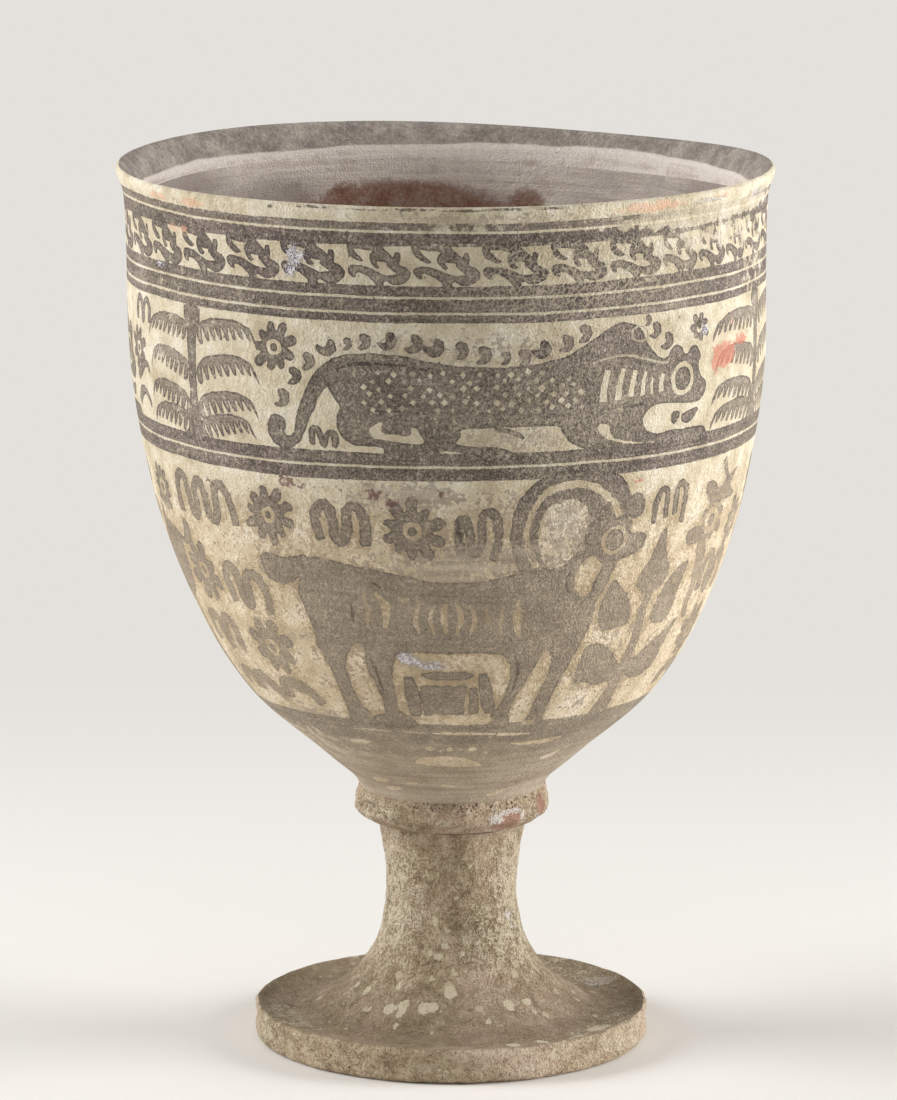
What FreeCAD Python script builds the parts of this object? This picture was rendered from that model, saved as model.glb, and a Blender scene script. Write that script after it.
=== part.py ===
"""Stemmed chalice: a deep clay bowl on a hollow pedestal, as the potter built it.

The vessel is made of clay members that were joined while wet. From the ground up they are
the foot disc, its slurry seam, the thrown pedestal, the upper slurry seam, the round floor
slab of the bowl, the roll of clay that hides that joint, the tall thin wall and the
turned-out lip. Every member is a turned form, so each is one closed outline spun about
the upright axis. Lengths are millimetres. The origin is on the ground, on the axis.

The pedestal and foot are given by steps outwards from the waist, the narrowest place, so a
change of one step carries everything beyond it along. The bowl wall then spans from there to
the bowl's full radius and the overall height.
"""
import FreeCAD, Part
import os

import Sketcher

# Each size is written once, here. An "out" is a step away from the axis and an "up" is a
# step away from the ground, each from the station before it.
SIZES = {
    # whole vessel
    "overall_height": 250.0,
    "bowl_radius": 89.2,
    # hollow pedestal, from its waist
    "waist_radius": 18.45,
    "stem_wall": 6.95,
    "tenon_out": 2.15,
    "tenon_up": 18.6,
    "collar_lap": 3.4,
    "flare_high_out": 2.05,
    "flare_mid_out": 7.2,
    "flare_edge_out": 14.3,
    "flare_mid_up": 9.4,
    "flare_high_up": 12.0,
    "waist_up": 14.0,
    # foot disc, from the edge of the pedestal's flare
    "foot_height": 8.0,
    "foot_pad_out": 2.0,
    "foot_tread_out": 8.1,
    "foot_lip_width": 2.2,
    "foot_lip_top": 0.6,
    "foot_lip_rise": 2.0,
    "foot_lip_drop": 0.9,
    "foot_edge_round": 1.6,
    "foot_groove_up": 3.7,
    "foot_groove": 0.4,
    "foot_hollow_spread": 11.5,
    # slurry seams
    "foot_seam": 0.6,
    "stem_seam": 0.8,
    # floor slab of the bowl, from the pedestal's tenon
    "slab_out": 2.9,
    "slab_thickness": 6.2,
    "floor_rise": 3.0,
    # roll of clay round the joint
    "collar_under_out": 6.0,
    "collar_under_up": 3.0,
    "collar_crest_up": 4.4,
    "collar_stand": 0.9,
    # bowl wall, from the edge of the slab
    "clay_wall": 4.8,
    "neck_out": 2.6,
    # lip, turned out over the wall
    "lip_height": 10.0,
    "lip_flare": 2.4,
    "lip_edge": 2.8,
}

# Where the stations of the bowl wall lie between its neck and its full width, and between
# the floor slab and the lip.
WALL_STATION_SHARES = {
    "neck_flare_out_share": 0.092,
    "neck_flare_up_share": 0.042,
    "cone_out_share": 0.357,
    "cone_up_share": 0.127,
    "belly_out_share": 0.67,
    "belly_up_share": 0.281,
    "shoulder_out_share": 0.937,
    "shoulder_up_share": 0.581,
    "upright_up_share": 0.838,
}

# How far a curve stands off its chord, as a share of the chord. A curve that swells out
# of the clay is positive, a hollow one is negative.
BULGE_SHARES = {
    "foot_lip_share": 0.16,
    "flare_edge_share": -0.05,
    "flare_mid_share": -0.063,
    "flare_high_share": -0.036,
    "waist_share": -0.029,
    "collar_crest_share": 0.15,
    "belly_share": 0.048,
    "shoulder_share": 0.035,
    "upright_share": 0.023,
    "inner_upright_share": -0.023,
    "inner_shoulder_share": -0.035,
    "inner_belly_share": -0.048,
    "lip_outside_share": -0.068,
    "lip_over_share": 0.5,
    "lip_inside_share": -0.12,
}

# A curve is drawn as a count of short flats, which keeps the turned faces plain cones.
FLAT_COUNT = 2
CURVE_FLAT_COUNTS = {"belly_share": 3, "shoulder_share": 3, "lip_over_share": 4}

# A sloping wall is wider when it is cut level. These are its level widths, as shares of
# the clay's thickness.
LEVEL_WALL_SHARES = {
    "neck_wall_share": 2.04,
    "cone_wall_share": 1.54,
    "belly_wall_share": 1.12,
    "shoulder_wall_share": 1.02,
    "flare_mid_wall_share": 1.12,
    "flare_edge_wall_share": 1.65,
}

FULL_TURN = 360


class Size:
    """A length from the sheet that keeps its number and the expression that gives it."""

    def __init__(self, value, text):
        self.value = value
        self.text = text

    def __add__(self, other):
        return Size(self.value + other.value, f"({self.text} + {other.text})")

    def __sub__(self, other):
        return Size(self.value - other.value, f"({self.text} - {other.text})")

    def __mul__(self, other):
        return Size(self.value * other.value, f"({self.text} * {other.text})")

    def __truediv__(self, other):
        return Size(self.value / other.value, f"({self.text} / {other.text})")


NOTHING = Size(0, "0")
TWO = Size(2, "2")
FOUR = Size(4, "4")


# The sheet
def make_sheet(doc, tables):
    """Put every named value in its own cell and return them as sizes, by name."""
    sheet = doc.addObject("Spreadsheet::Sheet", "Sizes")
    sizes = {}
    row = 0
    for table in tables:
        for name, value in table.items():
            row += 1
            sheet.set(f"A{row}", name)
            sheet.set(f"B{row}", str(value))
            sheet.setAlias(f"B{row}", name)
            sizes[name] = Size(value, f"Sizes.{name}")
    return sizes


# Outlines
def vector(point):
    """A point of the outline in the plane of its sketch."""
    return FreeCAD.Vector(point[0].value, point[1].value, 0)


def curve_points(start, end, bulge, flats):
    """Corners between two ends of a curve that stands off its chord by the bulge."""
    run = end[0] - start[0]
    rise = end[1] - start[1]
    points = []
    for number in range(1, flats):
        along = Size(number / flats, f"({number} / {flats})")
        off = bulge * (along - along * along) * FOUR
        radius = start[0] + run * along + rise * off
        height = start[1] + rise * along - run * off
        points.append((radius, height))
    return points


def all_corners(size, corners):
    """The outline's named corners with those of its curves put in between."""
    full = []
    for number, (name, point, curve) in enumerate(corners):
        full.append((name, point))
        if curve is None:
            continue
        target = corners[(number + 1) % len(corners)][1]
        flats = CURVE_FLAT_COUNTS.get(curve, FLAT_COUNT)
        for step, between in enumerate(curve_points(point, target, size[curve], flats)):
            full.append((f"{name}_curve_{step}", between))
    return full


def pin(sketch, edge, point, name):
    """Hold the start of an edge at its radius and height, both bound to the sheet."""
    for kind, size, axis, word in (
        ("DistanceX", point[0], -2, "radius"),
        ("DistanceY", point[1], -1, "height"),
    ):
        if size is NOTHING:
            sketch.addConstraint(Sketcher.Constraint("PointOnObject", edge, 1, axis))
            continue
        place = Sketcher.Constraint(kind, -1, 1, edge, 1, size.value)
        index = sketch.addConstraint(place)
        sketch.renameConstraint(index, f"{name}_{word}")
        sketch.setExpression(f"Constraints.{name}_{word}", size.text)


def draw_outline(sketch, corners):
    """Draw a closed outline, edge by edge, and hold each of its corners."""
    edges = []
    for number, (name, point) in enumerate(corners):
        target = corners[(number + 1) % len(corners)][1]
        line = Part.LineSegment(vector(point), vector(target))
        edges.append(sketch.addGeometry(line, False))
    for number, (name, point) in enumerate(corners):
        joint = Sketcher.Constraint("Coincident", edges[number - 1], 2, edges[number], 1)
        sketch.addConstraint(joint)
        pin(sketch, edges[number], point, name)


def turned_body(doc, name, size, corners, seat):
    """Spin a closed outline about the upright axis and stand it at its seat."""
    body = doc.addObject("PartDesign::Body", name)
    body.Label = name
    plane = [part for part in body.Origin.OriginFeatures if part.Role == "XZ_Plane"][0]
    sketch = body.newObject("Sketcher::SketchObject", f"{name}_outline")
    sketch.AttachmentSupport = (plane, [""])
    sketch.MapMode = "FlatFace"
    draw_outline(sketch, all_corners(size, corners))
    turn = body.newObject("PartDesign::Revolution", f"{name}_turned")
    turn.Profile = sketch
    turn.ReferenceAxis = (sketch, ["V_Axis"])
    turn.Angle = FULL_TURN
    sketch.Visibility = False
    body.setExpression("Placement.Base.z", seat.text)
    return body


# Stations that two or more members share
def add_stem_stations(size):
    """Radii of the pedestal outside, going out from the waist to both of its ends."""
    size["tenon_radius"] = size["waist_radius"] + size["tenon_out"]
    size["flare_high_radius"] = size["waist_radius"] + size["flare_high_out"]
    size["flare_mid_radius"] = size["flare_high_radius"] + size["flare_mid_out"]
    size["flare_edge_radius"] = size["flare_mid_radius"] + size["flare_edge_out"]
    size["pad_radius"] = size["flare_edge_radius"] + size["foot_pad_out"]
    size["bore_radius"] = size["waist_radius"] - size["stem_wall"]
    for station in ("flare_mid", "flare_edge"):
        wall = size["stem_wall"] * size[f"{station}_wall_share"]
        size[f"{station}_bore"] = size[f"{station}_radius"] - wall


def add_seats(size):
    """Heights above the ground where one member is seated on another."""
    size["stem_foot"] = size["foot_height"] + size["foot_seam"]
    flare = size["flare_mid_up"] + size["flare_high_up"]
    size["collar_under"] = size["stem_foot"] + flare + size["waist_up"] + size["tenon_up"]
    size["stem_top"] = size["collar_under"] + size["collar_lap"]
    size["slab_under"] = size["stem_top"] + size["stem_seam"]
    size["neck_height"] = size["slab_under"] + size["slab_thickness"]
    size["lip_seat"] = size["overall_height"] - size["lip_height"]


def add_bowl_stations(size):
    """Radii and heights of the bowl wall outside, from the slab up, and its inside."""
    size["slab_radius"] = size["tenon_radius"] + size["slab_out"]
    size["neck_radius"] = size["slab_radius"] + size["neck_out"]
    size["wall_height"] = size["lip_seat"] - size["neck_height"]
    spread = size["bowl_radius"] - size["neck_radius"]
    for station in ("neck_flare", "cone", "belly", "shoulder"):
        out = spread * size[f"{station}_out_share"]
        size[f"{station}_radius"] = size["neck_radius"] + out
        size[f"{station}_height"] = size["wall_height"] * size[f"{station}_up_share"]
    size["upright_height"] = size["wall_height"] * size["upright_up_share"]
    for station in ("neck", "cone", "belly", "shoulder"):
        wall = size["clay_wall"] * size[f"{station}_wall_share"]
        size[f"{station}_inside"] = size[f"{station}_radius"] - wall
    size["bowl_inside"] = size["bowl_radius"] - size["clay_wall"]


# The members, from the ground up
def foot_disc_outline(size):
    """Thick disc with a groove round its side and a thin upturned lip."""
    tread_radius = size["pad_radius"] + size["foot_tread_out"]
    crest_radius = tread_radius + size["foot_lip_width"]
    side_radius = crest_radius + size["foot_lip_top"]
    crest_height = size["foot_height"] + size["foot_lip_rise"]
    ring_inner = size["flare_edge_bore"] + size["foot_hollow_spread"]
    ring_outer = side_radius - size["foot_edge_round"]
    groove_radius = side_radius - size["foot_groove"]
    groove_height = size["foot_edge_round"] + size["foot_groove_up"]
    tread_height = crest_height - size["foot_lip_drop"]
    return [
        ("ring_inner", (ring_inner, NOTHING), None),
        ("ring_outer", (ring_outer, NOTHING), None),
        ("side", (side_radius, size["foot_edge_round"]), None),
        ("groove", (groove_radius, groove_height), "foot_lip_share"),
        ("crest", (crest_radius, crest_height), None),
        ("tread", (tread_radius, tread_height), None),
        ("pad", (size["pad_radius"], size["foot_height"]), None),
        ("hollow", (size["flare_edge_bore"], size["foot_height"]), None),
    ]


def foot_seam_outline(size):
    """Slurry between the disc and the flare, smoothed outwards to a thin edge."""
    return [
        ("low_inner", (size["flare_edge_bore"], NOTHING), None),
        ("low_outer", (size["pad_radius"], NOTHING), None),
        ("high_outer", (size["flare_edge_radius"], size["foot_seam"]), None),
        ("high_inner", (size["flare_edge_bore"], size["foot_seam"]), None),
    ]


def stem_outline(size):
    """Thrown pedestal: a tenon, a waist and a trumpet flare, with a bore that follows."""
    mid_height = size["flare_mid_up"]
    high_height = mid_height + size["flare_high_up"]
    waist_height = high_height + size["waist_up"]
    tenon_height = waist_height + size["tenon_up"]
    top = tenon_height + size["collar_lap"]
    return [
        ("bore_edge", (size["flare_edge_bore"], NOTHING), None),
        ("flare_edge", (size["flare_edge_radius"], NOTHING), "flare_edge_share"),
        ("flare_mid", (size["flare_mid_radius"], mid_height), "flare_mid_share"),
        ("flare_high", (size["flare_high_radius"], high_height), "flare_high_share"),
        ("waist", (size["waist_radius"], waist_height), "waist_share"),
        ("tenon_foot", (size["tenon_radius"], tenon_height), None),
        ("tenon_top", (size["tenon_radius"], top), None),
        ("bore_top", (size["bore_radius"], top), None),
        ("bore_waist", (size["bore_radius"], waist_height), None),
        ("bore_mid", (size["flare_mid_bore"], mid_height), None),
    ]


def stem_seam_outline(size):
    """Slurry ring between the pedestal and the floor slab of the bowl."""
    return [
        ("low_inner", (size["bore_radius"], NOTHING), None),
        ("low_outer", (size["tenon_radius"], NOTHING), None),
        ("high_outer", (size["tenon_radius"], size["stem_seam"]), None),
        ("high_inner", (size["bore_radius"], size["stem_seam"]), None),
    ]


def floor_slab_outline(size):
    """Round slab whose raised middle fills the bottom of the bowl's cone."""
    spread = size["cone_inside"] - size["neck_inside"]
    floor_radius = size["neck_inside"] + spread * size["floor_rise"] / size["cone_height"]
    floor_height = size["slab_thickness"] + size["floor_rise"]
    return [
        ("under_middle", (NOTHING, NOTHING), None),
        ("under_edge", (size["slab_radius"], NOTHING), None),
        ("top_edge", (size["slab_radius"], size["slab_thickness"]), None),
        ("wall_seat", (size["neck_inside"], size["slab_thickness"]), None),
        ("floor_edge", (floor_radius, floor_height), None),
        ("floor_middle", (NOTHING, floor_height), None),
    ]


def collar_outline(size):
    """Applied roll that laps the pedestal's tenon and the edge of the floor slab."""
    slab_under = size["collar_lap"] + size["stem_seam"]
    slab_top = slab_under + size["slab_thickness"]
    under_radius = size["tenon_radius"] + size["collar_under_out"]
    crest_radius = size["neck_radius"] + size["collar_stand"]
    crest_height = size["collar_under_up"] + size["collar_crest_up"]
    return [
        ("under_inner", (size["tenon_radius"], NOTHING), None),
        ("under_outer", (under_radius, size["collar_under_up"]), "collar_crest_share"),
        ("crest", (crest_radius, crest_height), None),
        ("neck", (size["neck_radius"], slab_top), None),
        ("slab_top", (size["slab_radius"], slab_top), None),
        ("slab_under", (size["slab_radius"], slab_under), None),
        ("tenon", (size["tenon_radius"], slab_under), None),
    ]


def bowl_wall_outline(size):
    """Thin wall: a narrow neck, a straight cone, a long swelling curve, then upright."""
    flare = (size["neck_flare_radius"], size["neck_flare_height"])
    return [
        ("inner_neck", (size["neck_inside"], NOTHING), None),
        ("neck", (size["neck_radius"], NOTHING), None),
        ("neck_flare", flare, None),
        ("cone", (size["cone_radius"], size["cone_height"]), "belly_share"),
        ("belly", (size["belly_radius"], size["belly_height"]), "shoulder_share"),
        ("shoulder", (size["shoulder_radius"], size["shoulder_height"]), "upright_share"),
        ("upright", (size["bowl_radius"], size["upright_height"]), None),
        ("top", (size["bowl_radius"], size["wall_height"]), None),
        ("inner_top", (size["bowl_inside"], size["wall_height"]), None),
        ("inner_upright", (size["bowl_inside"], size["upright_height"]), "inner_upright_share"),
        ("inner_shoulder", (size["shoulder_inside"], size["shoulder_height"]), "inner_shoulder_share"),
        ("inner_belly", (size["belly_inside"], size["belly_height"]), "inner_belly_share"),
        ("inner_cone", (size["cone_inside"], size["cone_height"]), None),
    ]


def rim_lip_outline(size):
    """Last coil of the wall, turned outwards and rounded over its edge."""
    edge_radius = size["bowl_radius"] + size["lip_flare"]
    edge_height = size["lip_height"] - size["lip_edge"] / TWO
    inner_edge = (edge_radius - size["lip_edge"], edge_height)
    return [
        ("seat_inner", (size["bowl_inside"], NOTHING), None),
        ("seat_outer", (size["bowl_radius"], NOTHING), "lip_outside_share"),
        ("edge_outer", (edge_radius, edge_height), "lip_over_share"),
        ("edge_inner", inner_edge, "lip_inside_share"),
    ]


# The vessel
def make_bodies(doc, size):
    """Build the members, each on the one below it, and return them by name."""
    add_stem_stations(size)
    add_seats(size)
    add_bowl_stations(size)
    members = {
        "foot_disc": (foot_disc_outline(size), NOTHING),
        "foot_luting": (foot_seam_outline(size), size["foot_height"]),
        "stem": (stem_outline(size), size["stem_foot"]),
        "stem_luting": (stem_seam_outline(size), size["stem_top"]),
        "bowl_base": (floor_slab_outline(size), size["slab_under"]),
        "collar_ring": (collar_outline(size), size["collar_under"]),
        "bowl_wall": (bowl_wall_outline(size), size["neck_height"]),
        "rim_lip": (rim_lip_outline(size), size["lip_seat"]),
    }
    return {
        name: turned_body(doc, name, size, corners, seat)
        for name, (corners, seat) in members.items()
    }


def check_document(doc, bodies):
    """Stop before anything is written if an object failed or a shape isn't sound."""
    for item in doc.Objects:
        if "Invalid" in item.State or "Error" in item.State:
            raise RuntimeError(f"{item.Name} failed: {item.State}")
    for name, body in bodies.items():
        shape = body.Shape
        if shape.isNull() or not shape.isValid() or len(shape.Solids) != 1:
            raise RuntimeError(f"{name} isn't one sound solid")


def main():
    doc = FreeCAD.newDocument("stemmed_chalice")
    size = make_sheet(doc, (SIZES, WALL_STATION_SHARES, BULGE_SHARES, LEVEL_WALL_SHARES))
    doc.recompute()
    bodies = make_bodies(doc, size)
    doc.recompute()
    check_document(doc, bodies)
    os.makedirs("parts", exist_ok=True)
    for name, body in bodies.items():
        body.Shape.exportStep(f"parts/{name}.step")
        volume = body.Shape.Volume
        print(f"{name}: {volume:.0f} cubic mm, seated at {body.Placement.Base.z:.2f}")


main()
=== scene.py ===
# %% [markdown]
# # A painted stemmed chalice
# A potter threw this chalice in parts: a deep bowl, a hollow stem and a foot ring, joined with clay slurry.
# The bowl was dipped in cream slip and painted with a thin grey-brown slip: a running vine under the rim,
# prowling cats between palms, and ibexes between rosettes. Centuries in the ground wore and stained it.
#
# Each step below explains what a piece is on the real pot and how it is made in Blender.

# %% Load the frame
import math
import random

import bmesh
import bpy
import numpy as np
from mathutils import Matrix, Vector, kdtree, noise
from mathutils.geometry import delaunay_2d_cdt


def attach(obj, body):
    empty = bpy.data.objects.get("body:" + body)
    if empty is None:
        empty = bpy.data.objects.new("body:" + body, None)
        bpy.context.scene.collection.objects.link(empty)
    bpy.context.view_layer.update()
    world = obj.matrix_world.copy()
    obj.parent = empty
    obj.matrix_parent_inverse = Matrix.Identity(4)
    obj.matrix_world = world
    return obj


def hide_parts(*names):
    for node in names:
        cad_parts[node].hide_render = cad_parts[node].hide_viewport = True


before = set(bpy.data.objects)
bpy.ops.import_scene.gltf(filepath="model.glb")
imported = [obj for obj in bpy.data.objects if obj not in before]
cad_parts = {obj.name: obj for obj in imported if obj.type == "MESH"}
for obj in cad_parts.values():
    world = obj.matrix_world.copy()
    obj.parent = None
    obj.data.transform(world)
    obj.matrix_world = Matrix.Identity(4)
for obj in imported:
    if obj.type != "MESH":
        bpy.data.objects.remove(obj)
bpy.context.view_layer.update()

MM = 0.001
print("CAD nodes:", ", ".join(sorted(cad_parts)))

# %% [markdown]
# ## Camera
# The photograph was taken from nearly two metres away with a long lens, a little above the rim, so the mouth
# shows as a thin ellipse. The picture is 897 by 1100, and the sensor width belongs to its long side.

# %% Camera
CAMERA_DISTANCE = 1.75
CAMERA_HEIGHT = 0.483848
CAMERA_ASIDE = -0.00096
CAMERA_TILT = 0.194
CAMERA_LENS = 207.7

camera_data = bpy.data.cameras.new("camera")
camera_data.lens = CAMERA_LENS
camera_data.sensor_width = 36
camera = bpy.data.objects.new("camera", camera_data)
camera.location = (CAMERA_ASIDE, -CAMERA_DISTANCE, CAMERA_HEIGHT)
camera.rotation_euler = (math.pi / 2 - CAMERA_TILT, 0, 0)
bpy.context.scene.collection.objects.link(camera)
bpy.context.scene.camera = camera
bpy.context.scene.view_settings.view_transform = "Standard"
print("camera lens in mm:", round(camera_data.lens, 1))

# %% [markdown]
# ## The bowl's curve
# A thrown bowl is one curve turned round an axis, so its shape is a short table of heights and radii, read
# with a smooth curve between them. A hand-thrown rim is never quite level: at the back it rises a little on
# the left and sags on the right, and the whole bowl is slightly out of round.

# %% Curves that are read between stations
BOWL_OUTSIDE = (
    (73, 26.1), (76, 27.6), (81, 33.4), (87, 40.2), (93, 47.5), (99, 54.2), (105, 59.3), (114, 65.4),
    (125, 71.1), (140, 77.2), (155, 82), (170, 85.2), (185, 87.7), (200, 89), (225, 89.1), (238, 89.5),
    (243, 90), (247, 91.5), (250, 91.6),
)
BOWL_INSIDE = (
    (76, 19.9), (79, 24.5), (84, 30.5), (94, 41.2), (105, 53.2), (120, 63), (145, 73.6), (170, 80.3),
    (195, 83.8), (220, 84.4), (240, 84.6), (250, 86),
)
LEAN = 1.46
RIM_LIFTS = ((0.9, -140, 40), (-2.2, 145, 38))
WOBBLE = 0.45


def read_curve(stations, at):
    """The value of a smooth curve through the (place, value) stations, at one place."""
    last = len(stations) - 1
    i = max(0, min(last - 1, sum(1 for s in stations[1:-1] if s[0] <= at)))
    (x0, y0), (x1, y1) = stations[i], stations[i + 1]
    xa, ya = stations[max(0, i - 1)]
    xb, yb = stations[min(last, i + 2)]
    slope0, slope1 = (y1 - ya) / (x1 - xa), (yb - y0) / (xb - x0)
    t, w = (at - x0) / (x1 - x0), x1 - x0
    return (
        y0 * (2 * t**3 - 3 * t**2 + 1)
        + slope0 * w * (t**3 - 2 * t**2 + t)
        + y1 * (3 * t**2 - 2 * t**3)
        + slope1 * w * (t**3 - t**2)
    )


def ease(low, high, value):
    """0 below low, 1 above high, and a smooth rise between."""
    t = max(0, min(1, (value - low) / (high - low)))
    return t * t * (3 - 2 * t)


def turned_away(angle, centre, width):
    """A soft hill round one side of the pot: 1 at centre, falling off within width degrees."""
    apart = (angle - centre + 180) % 360 - 180
    return math.exp(-((apart / width) ** 2))


def hand_thrown(angle, height, radius):
    """A point of the pot in metres, from its angle from the front, its height and its radius in mm."""
    turn = math.radians(angle)
    rim = ease(170, 250, height)
    lift = rim * sum(mm * turned_away(angle, centre, width) for mm, centre, width in RIM_LIFTS)
    outer = 0.35 * math.cos(2 * turn + 0.6) * ease(90, 240, height) + 0.25 * math.sin(3 * turn + height / 40)
    spot = Vector((math.sin(turn) * 2.2, -math.cos(turn) * 2.2, height / 34))
    outer += WOBBLE * noise.noise(spot) * ease(60, 90, height)
    lean = LEAN * ease(60, 250, height)
    r = radius + outer
    return Vector((r * math.sin(turn) - lean, -r * math.cos(turn), height + lift)) * MM


print("bowl radius at mid height in mm:", round(read_curve(BOWL_OUTSIDE, 170), 1))

# %% [markdown]
# ## Drawing with a brush
# The decoration is drawn flat first, as outlines of angle round the pot and height up the wall, the way a
# painter would plan it on paper. A closed shape is a smooth loop through a few points. A stroke is a line
# with a width that changes along it. The edge of each shape wavers a little, as a brush on dry clay does.

# %% Flat drawing helpers
FLAT_PER_DEGREE = 1.5
EDGE_STEP = 0.85
EDGE_WAVER = 0.16
FRAY = 0.34
FRAYED_BELOW = 176
EDGE_POOL = 0.55
EDGE_DARKER = 0.22
FULL_PAINT = 0.6
LINE_ENDS = 0.75
RING_POINTS = 14


def mm_per_degree(height):
    """The width in mm of one degree of turn on the wall at this height."""
    return math.radians(1) * read_curve(BOWL_OUTSIDE, height)


def through(points, closed, step):
    """A smooth line through the points, as points about a step apart."""
    count = len(points)
    made = []
    for i in range(count if closed else count - 1):
        if closed:
            a, b, c, d = (points[(i + k) % count] for k in (-1, 0, 1, 2))
        else:
            a, b, c, d = (points[max(0, min(count - 1, i + k))] for k in (-1, 0, 1, 2))
        pieces = max(1, round(math.dist(b, c) / step))
        for k in range(pieces):
            t = k / pieces
            made.append(tuple(
                0.5 * (2 * q + (r - p) * t + (2 * p - 5 * q + 4 * r - s) * t * t
                       + (3 * q - p - 3 * r + s) * t**3)
                for p, q, r, s in zip(a, b, c, d)))
    return made if closed else made + [tuple(points[-1])]


def shape(points, swell=0):
    """A closed loop of flat points from a few (angle, height) points, grown by swell mm all round."""
    flat = through([(a * FLAT_PER_DEGREE, z) for a, z in points], True, EDGE_STEP)
    return grown(flat, swell) if swell else flat


def turning(loop):
    """1 for a loop that runs counterclockwise, and -1 for one that runs clockwise."""
    return math.copysign(1, sum(x0 * y1 - x1 * y0 for (x0, y0), (x1, y1) in zip(loop, loop[1:] + loop[:1])))


def grown(loop, reach):
    """The loop moved outward by reach mm, or inward where reach is below 0."""
    way = turning(loop) * reach
    made = []
    for (x0, y0), (x, y), (x1, y1) in zip(loop[-1:] + loop[:-1], loop, loop[1:] + loop[:1]):
        size = math.hypot(x1 - x0, y1 - y0) or 1
        made.append((x + (y1 - y0) / size * way, y - (x1 - x0) / size * way))
    return made


def stroke(points, width, ends=LINE_ENDS):
    """The outline of a brush stroke along (angle, height) points. width is in mm, or one for each point."""
    scale = mm_per_degree(sum(z for a, z in points) / len(points))
    widths = [width] * len(points) if isinstance(width, (int, float)) else width
    line = through([(a * scale, z, w) for (a, z), w in zip(points, widths)], False, EDGE_STEP)
    left, right = [], []
    for i, (x, y, w) in enumerate(line):
        x0, y0, _ = line[max(0, i - 1)]
        x1, y1, _ = line[min(len(line) - 1, i + 1)]
        size = math.hypot(x1 - x0, y1 - y0) or 1
        nx, ny = -(y1 - y0) / size, (x1 - x0) / size
        half = w / 2 * (ends if i in (0, len(line) - 1) else 1)
        left.append((x + nx * half, y + ny * half))
        right.append((x - nx * half, y - ny * half))
    return [(x / scale * FLAT_PER_DEGREE, y) for x, y in left + right[::-1]]


def waver(loop, seed):
    """The loop with a brush's small unevenness, and with the frayed edges that wear gave the lower half."""
    made = []
    tall = max(y for x, y in loop) - min(y for x, y in loop)
    for x, y in loop:
        fray = FRAY * ease(0, 8, FRAYED_BELOW - y) * ease(3, 12, tall)
        spot = Vector((x * 0.55, y * 0.55, seed * 3.7))
        tear = Vector((x * 1.9, y * 1.9, 5))
        dx, dy = (noise.noise(spot + Vector(shift)) * 2 * EDGE_WAVER for shift in ((0, 0, 0), (9, 4, 2)))
        ex, ey = (noise.noise(tear + Vector(shift)) * 2 * fray for shift in ((0, 0, 0), (7, 3, 1)))
        made.append((x + dx + ex, y + dy + ey))
    return made


drawing = []


def paint(loop, strength):
    """Adds one shape to the drawing. Later shapes cover earlier ones.

    Strength 1 is full paint, and above 1 it lies thicker, as where it pooled along the edge of a shape.
    0 leaves the slip bare, and below 0 the turned bands are worn through as well.
    """
    seed = len(drawing)
    if strength > FULL_PAINT:
        drawing.append((waver(loop, seed), strength + EDGE_DARKER))
        loop = grown(loop, -EDGE_POOL)
    drawing.append((waver(loop, seed), strength))


def moved(points, turn):
    """The points moved round the pot by turn degrees."""
    return [(a + turn, z) for a, z in points]


def fill_shape(points, strength, turn=0):
    """Paints the closed shape through the points, moved round by turn degrees."""
    paint(shape(moved(points, turn)), strength)


def draw_line(points, width, strength, turn=0, ends=LINE_ENDS):
    """Paints a brush stroke along the points, moved round by turn degrees."""
    paint(stroke(moved(points, turn), width, ends), strength)


def draw_rings(angle, height, wide, tall, rings):
    """Rings one over another round an eye, each a reach in mm and a strength. wide and tall stretch them."""
    ways = [math.tau * i / RING_POINTS for i in range(RING_POINTS)]
    for reach, strength in rings:
        ring = [(angle + reach * math.cos(w) / wide, height + reach * tall * math.sin(w)) for w in ways]
        paint(shape(ring), strength)


# %% [markdown]
# ## Fillers
# Between the animals the painter set small repeated marks: rosettes with a ringed eye, marks like a letter m
# with two to four humps, and comma strokes. Each is one function, called with its place and size.

# %% Rosettes, humps and commas
def rosette(angle, height, size, petals, eye=2.6, strength=0.95, turn=0):
    """Petals round a bare eye with a dot. size and eye are radii in mm, and turn is in quarter petals."""
    scale = mm_per_degree(height)
    petal_brush = random.Random(round(abs(angle) * 10) + petals)
    loop = []
    for petal in range(petals):
        longer = petal_brush.uniform(0.86, 1.14)
        for step, reach in enumerate((0.68, 0.98, 1.08, 1.05, 0.92)):
            way = math.tau * (petal + step / 5 + turn * 0.25) / petals
            reach *= size * (longer if step else 1)
            loop.append((angle + reach * math.cos(way) / scale, height + reach * math.sin(way) * 1.06))
    paint(shape(loop), strength)
    for reach, fill in ((eye, 0), (eye * 0.5, strength)):
        ring = []
        for i in range(10):
            way, wobble = math.tau * i / 10, reach * petal_brush.uniform(0.88, 1.12)
            ring.append((angle + wobble * math.cos(way) / scale, height + wobble * math.sin(way)))
        paint(shape(ring), fill)


hump_brush = random.Random(3)


def humps(points, width, strength=0.9, turn=0):
    """A stroke that runs up and down, pressed unevenly."""
    widths = [width] * len(points) if isinstance(width, (int, float)) else width
    draw_line(points, [w * hump_brush.uniform(0.8, 1.04) for w in widths], strength, turn)


comma_brush = random.Random(8)
COMMA = (
    (-1.25, 0.75, 1.6), (-0.4, 1.05, 2.6), (0.45, 0.75, 3), (0.75, -0.2, 2.8), (0.25, -1.25, 2.1),
    (-0.8, -1.8, 1.3), (-1.7, -1.95, 0.5),
)


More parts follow.
